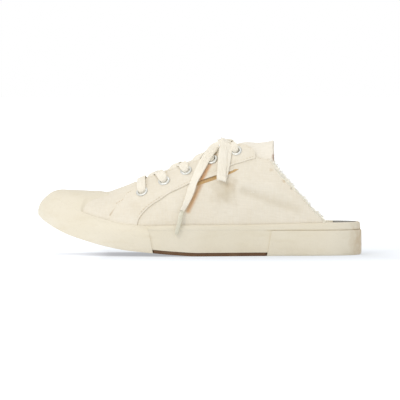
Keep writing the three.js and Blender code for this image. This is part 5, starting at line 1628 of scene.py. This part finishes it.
@dataclass
class Bow:
    """The free laces: a knot on the tongue, two loops and two ends with their aglets."""

    ribbon: Ribbon = field(default_factory=Ribbon)
    over_panel: float = 4.2
    knot_length: float = 14.0
    knot_width: float = 20.0
    knot_height: float = 4.6

    def hanging(self, rows: Array, side: Side) -> tuple[Array, Array]:
        """Points and face directions of a lace that hangs against the shoe's side through a table's rows."""
        x, z = LAST.x(rows[:, 0]), rows[:, 1] * LAST.instep
        points, normals = [], []
        for i in range(len(rows)):
            offset = self.over_panel + rows[i, 2] * 8.5
            angle, lift = LAST.seen(x[i:i + 1], z[i:i + 1], side, offset, False)
            point = LAST.off(angle, lift, np.full(1, offset))[0]
            wall = (LAST.outline(-side.value * LAST.angle(LAST.along(x[i])))[1]
                    + side.value * (rows[i, 2] * 8.5 + 0.6))
            low = z[i] < 1.3 * LAST.rim_height and side.value * wall > side.value * point[1]
            points.append([x[i], wall if low else point[1], z[i]])
            normals.append(LAST.normal(angle, lift)[0])
        return np.array(points), np.array(normals)

    def knot_centre(self) -> Array:
        """The middle of the knot, over the top crossing."""
        x = float(LAST.x(LACE_LOOP[0, 0])) + 1
        return np.array([x, float(LAST.ridge_y(x)), float(LAST.ridge_z(x)) + 0.6 + 0.6 + 1 + 2.3])

    def knot(self) -> bpy.types.Object:
        """A band of lace wrapped round the gathered strands, with a lobe of them at each side."""
        centre = self.knot_centre()
        shape = Shape()
        t = np.linspace(0, TURN, 65)
        lump = 1 + 0.05 * np.sin(3 * t)
        path = centre + np.stack([(self.knot_length / 2 - 0.6) * np.cos(t) * lump, 0.8 * np.sin(t + 0.6),
                                  (self.knot_height / 2 - 0.3) * np.sin(t) * lump], -1)
        across = np.broadcast_to([0.15, 1.0, 0.1], path.shape)
        band = self.ribbon.tube(path, across, 8.2 - 1.5 * np.cos(t) ** 2, 1.4)
        shape.put(band.points[0], band.maps[0], band.quads[0])
        s = np.linspace(-1, 1, 41)
        width = (10.5 + 1.5 * smooth(np.abs(s), 0.25, 0.8)) * np.sqrt(np.clip(1 - np.abs(s) ** 12, 0, 1)) + 0.05
        core = centre + np.stack([0.7 * np.sin(3 * s), s * self.knot_width / 2, 0.5 * np.cos(4 * s) - 0.6], -1)
        inner = self.ribbon.tube(core, np.broadcast_to([1.0, 0, 0], core.shape), width, 3.6 - 1.2 * np.abs(s))
        shape.put(inner.points[0], inner.maps[0], inner.quads[0])
        return shape.build("lace_knot_dressed", [LACE], "lace", ["lace_knot"])

    def loop(self, side: Side) -> None:
        """A loop out of the knot's side, down and back up again."""
        points, normals = self.hanging(LACE_LOOP, side)
        start = self.knot_centre() + np.array([[-1.0, side.value * 2, 2.3], [-0.8, side.value * 8, 1.9]])
        points = np.concatenate([start, points])
        path = spline(points, 160)
        across = np.broadcast_to([1.0, 0, -0.42], path.shape)
        piece = self.ribbon.tube(path, across, self.ribbon.width).build(f"lace_loop_{side.label}_dressed", [LACE], "lace", [f"lace_loop_{side.label}"])

    def end(self, side: Side) -> None:
        """A free end, and its aglet's film rolled over the lace."""
        points, normals = self.hanging(LACE_END, side)
        start = self.knot_centre() + np.array([[-3.5, side.value * 3.5, 2.0], [-5.0, side.value * 8.5, 1.0]])
        points, normals = np.concatenate([start, points]), np.concatenate([[[0, 0, 1], [0, side.value, 0.6]], normals])
        path, face = spline(points, 100), unit(spline(normals, 100))
        s = np.linspace(0, 1, 100)
        width = self.ribbon.width + (4.2 - self.ribbon.width) * smooth(s, 0.7, 1)
        thick = 1.2 + 0.8 * smooth(s, 0.9, 1)
        piece = self.ribbon.tube(path, np.cross(face, unit(np.gradient(path, axis=0))), width, thick
                                 ).build(f"lace_end_{side.label}_dressed", [LACE], "lace", [f"lace_end_{side.label}"])
        tip, tip_normal = self.hanging(AGLET, side)
        tip_path, tip_face = spline(tip, 40), unit(spline(tip_normal, 40))
        t = np.linspace(0, 1, 40)
        taper = 1 - 0.12 * t - 0.4 * smooth(t, 0.93, 1)
        aglet = self.ribbon.tube(tip_path, np.cross(tip_face, unit(np.gradient(tip_path, axis=0))), 4.1 * taper,
                                 2.4 * taper).build(f"aglet_{side.label}_dressed", [FILM], "aglet",
                                                    [f"aglet_{side.label}"])

    def make(self) -> None:
        """All free laces."""
        knot = self.knot()
        for side in Side:
            self.loop(side)
            self.end(side)


# The studio


@dataclass
class Studio:
    """A pale floor, soft lights and the camera at the photograph's angle."""

    lens: float = 500.0
    distance: float = 5.194
    elevation: float = 1.75
    aim: tuple[float, float, float] = (0.00037, -0.018, 0.0516)

    def camera(self) -> None:
        """A long lens level with the shoe's side."""
        data = bpy.data.cameras.new("camera")
        data.lens, data.sensor_width = self.lens, 36.0
        data.clip_start, data.clip_end = 0.05, 60
        made = bpy.data.objects.new("camera", data)
        bpy.context.scene.collection.objects.link(made)
        tilt = math.radians(self.elevation)
        made.location = Vector(self.aim) + self.distance * Vector((0, -math.cos(tilt), math.sin(tilt)))
        made.rotation_euler = (math.pi / 2 - tilt, 0, 0)
        bpy.context.scene.camera = made

    def light(self, name: str, place: tuple[float, float, float], size: float, power: float, colour: str) -> None:
        """A square soft box that looks at the shoe."""
        data = bpy.data.lights.new(name, "AREA")
        data.energy, data.size = power, size
        data.color = linear(colour)[:3]
        made = bpy.data.objects.new(name, data)
        bpy.context.scene.collection.objects.link(made)
        made.location = place
        made.rotation_euler = (Vector((0, 0, 0.04)) - Vector(place)).to_track_quat("-Z", "Y").to_euler()

    def make(self) -> None:
        """Floor, world and lights."""
        half = 12000.0
        corners = np.array([[[-half, -half, 0], [half, -half, 0]], [[-half, half, 0], [half, half, 0]]])
        mesh = bpy.data.meshes.new("floor")
        mesh.from_pydata([tuple((p + SHIFT * 0) * MM) for p in corners.reshape(-1, 3)], [], [(0, 1, 3, 2)])
        mesh.materials.append(PAPER)
        floor = bpy.data.objects.new("floor", mesh)
        bpy.context.scene.collection.objects.link(floor)
        world = bpy.data.worlds.new("studio")
        world.use_nodes = True
        tree = world.node_tree
        way = add(tree, "SeparateXYZ", {0: add(tree, "TexCoord").outputs["Generated"]})
        upward = add(tree, "MapRange", {"Value": way.outputs[2], "From Min": 0.08, "From Max": 0.4, "To Min": 1.0,
                                        "To Max": 0.85}, interpolation_type="SMOOTHSTEP")
        behind = add(tree, "MapRange", {"Value": way.outputs[0], "From Min": 0.1, "From Max": 0.8, "To Min": 1.0,
                                        "To Max": 0.75}, interpolation_type="SMOOTHSTEP")
        strength = add(tree, "Math", {0: upward.outputs[0], 1: behind.outputs[0]}, operation="MULTIPLY")
        tree.links.new(strength.outputs[0], tree.nodes["Background"].inputs[1])
        tree.nodes["Background"].inputs[0].default_value = linear("FFFFFF")
        bpy.context.scene.world = world
        self.light("key", (-0.7, -1.6, 1.2), 0.7, 7.6, "FFF8EE")
        self.light("top", (-0.3, 0.1, 1.9), 1.0, 4.0, "FFFFFF")
        bpy.context.scene.view_settings.view_transform = "Standard"
        bpy.context.scene.view_settings.look = "None"


def main() -> None:
    """Builds the shoe, piece by piece."""
    logging.basicConfig(level=logging.INFO, format="%(message)s")
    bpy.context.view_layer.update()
    studio = Studio()
    studio.camera()
    eyelets = Eyelets()
    places = eyelets.places()
    Bow().make()
    Lacing().make(places)
    Sole().make()
    Footbed().make()
    upper = Upper()
    upper.holes = [(place["point"], place["normal"]) for place in places.values()]
    upper.make()
    eyelets.make(places)
    studio.make()


if __name__ == "__main__":
    main()
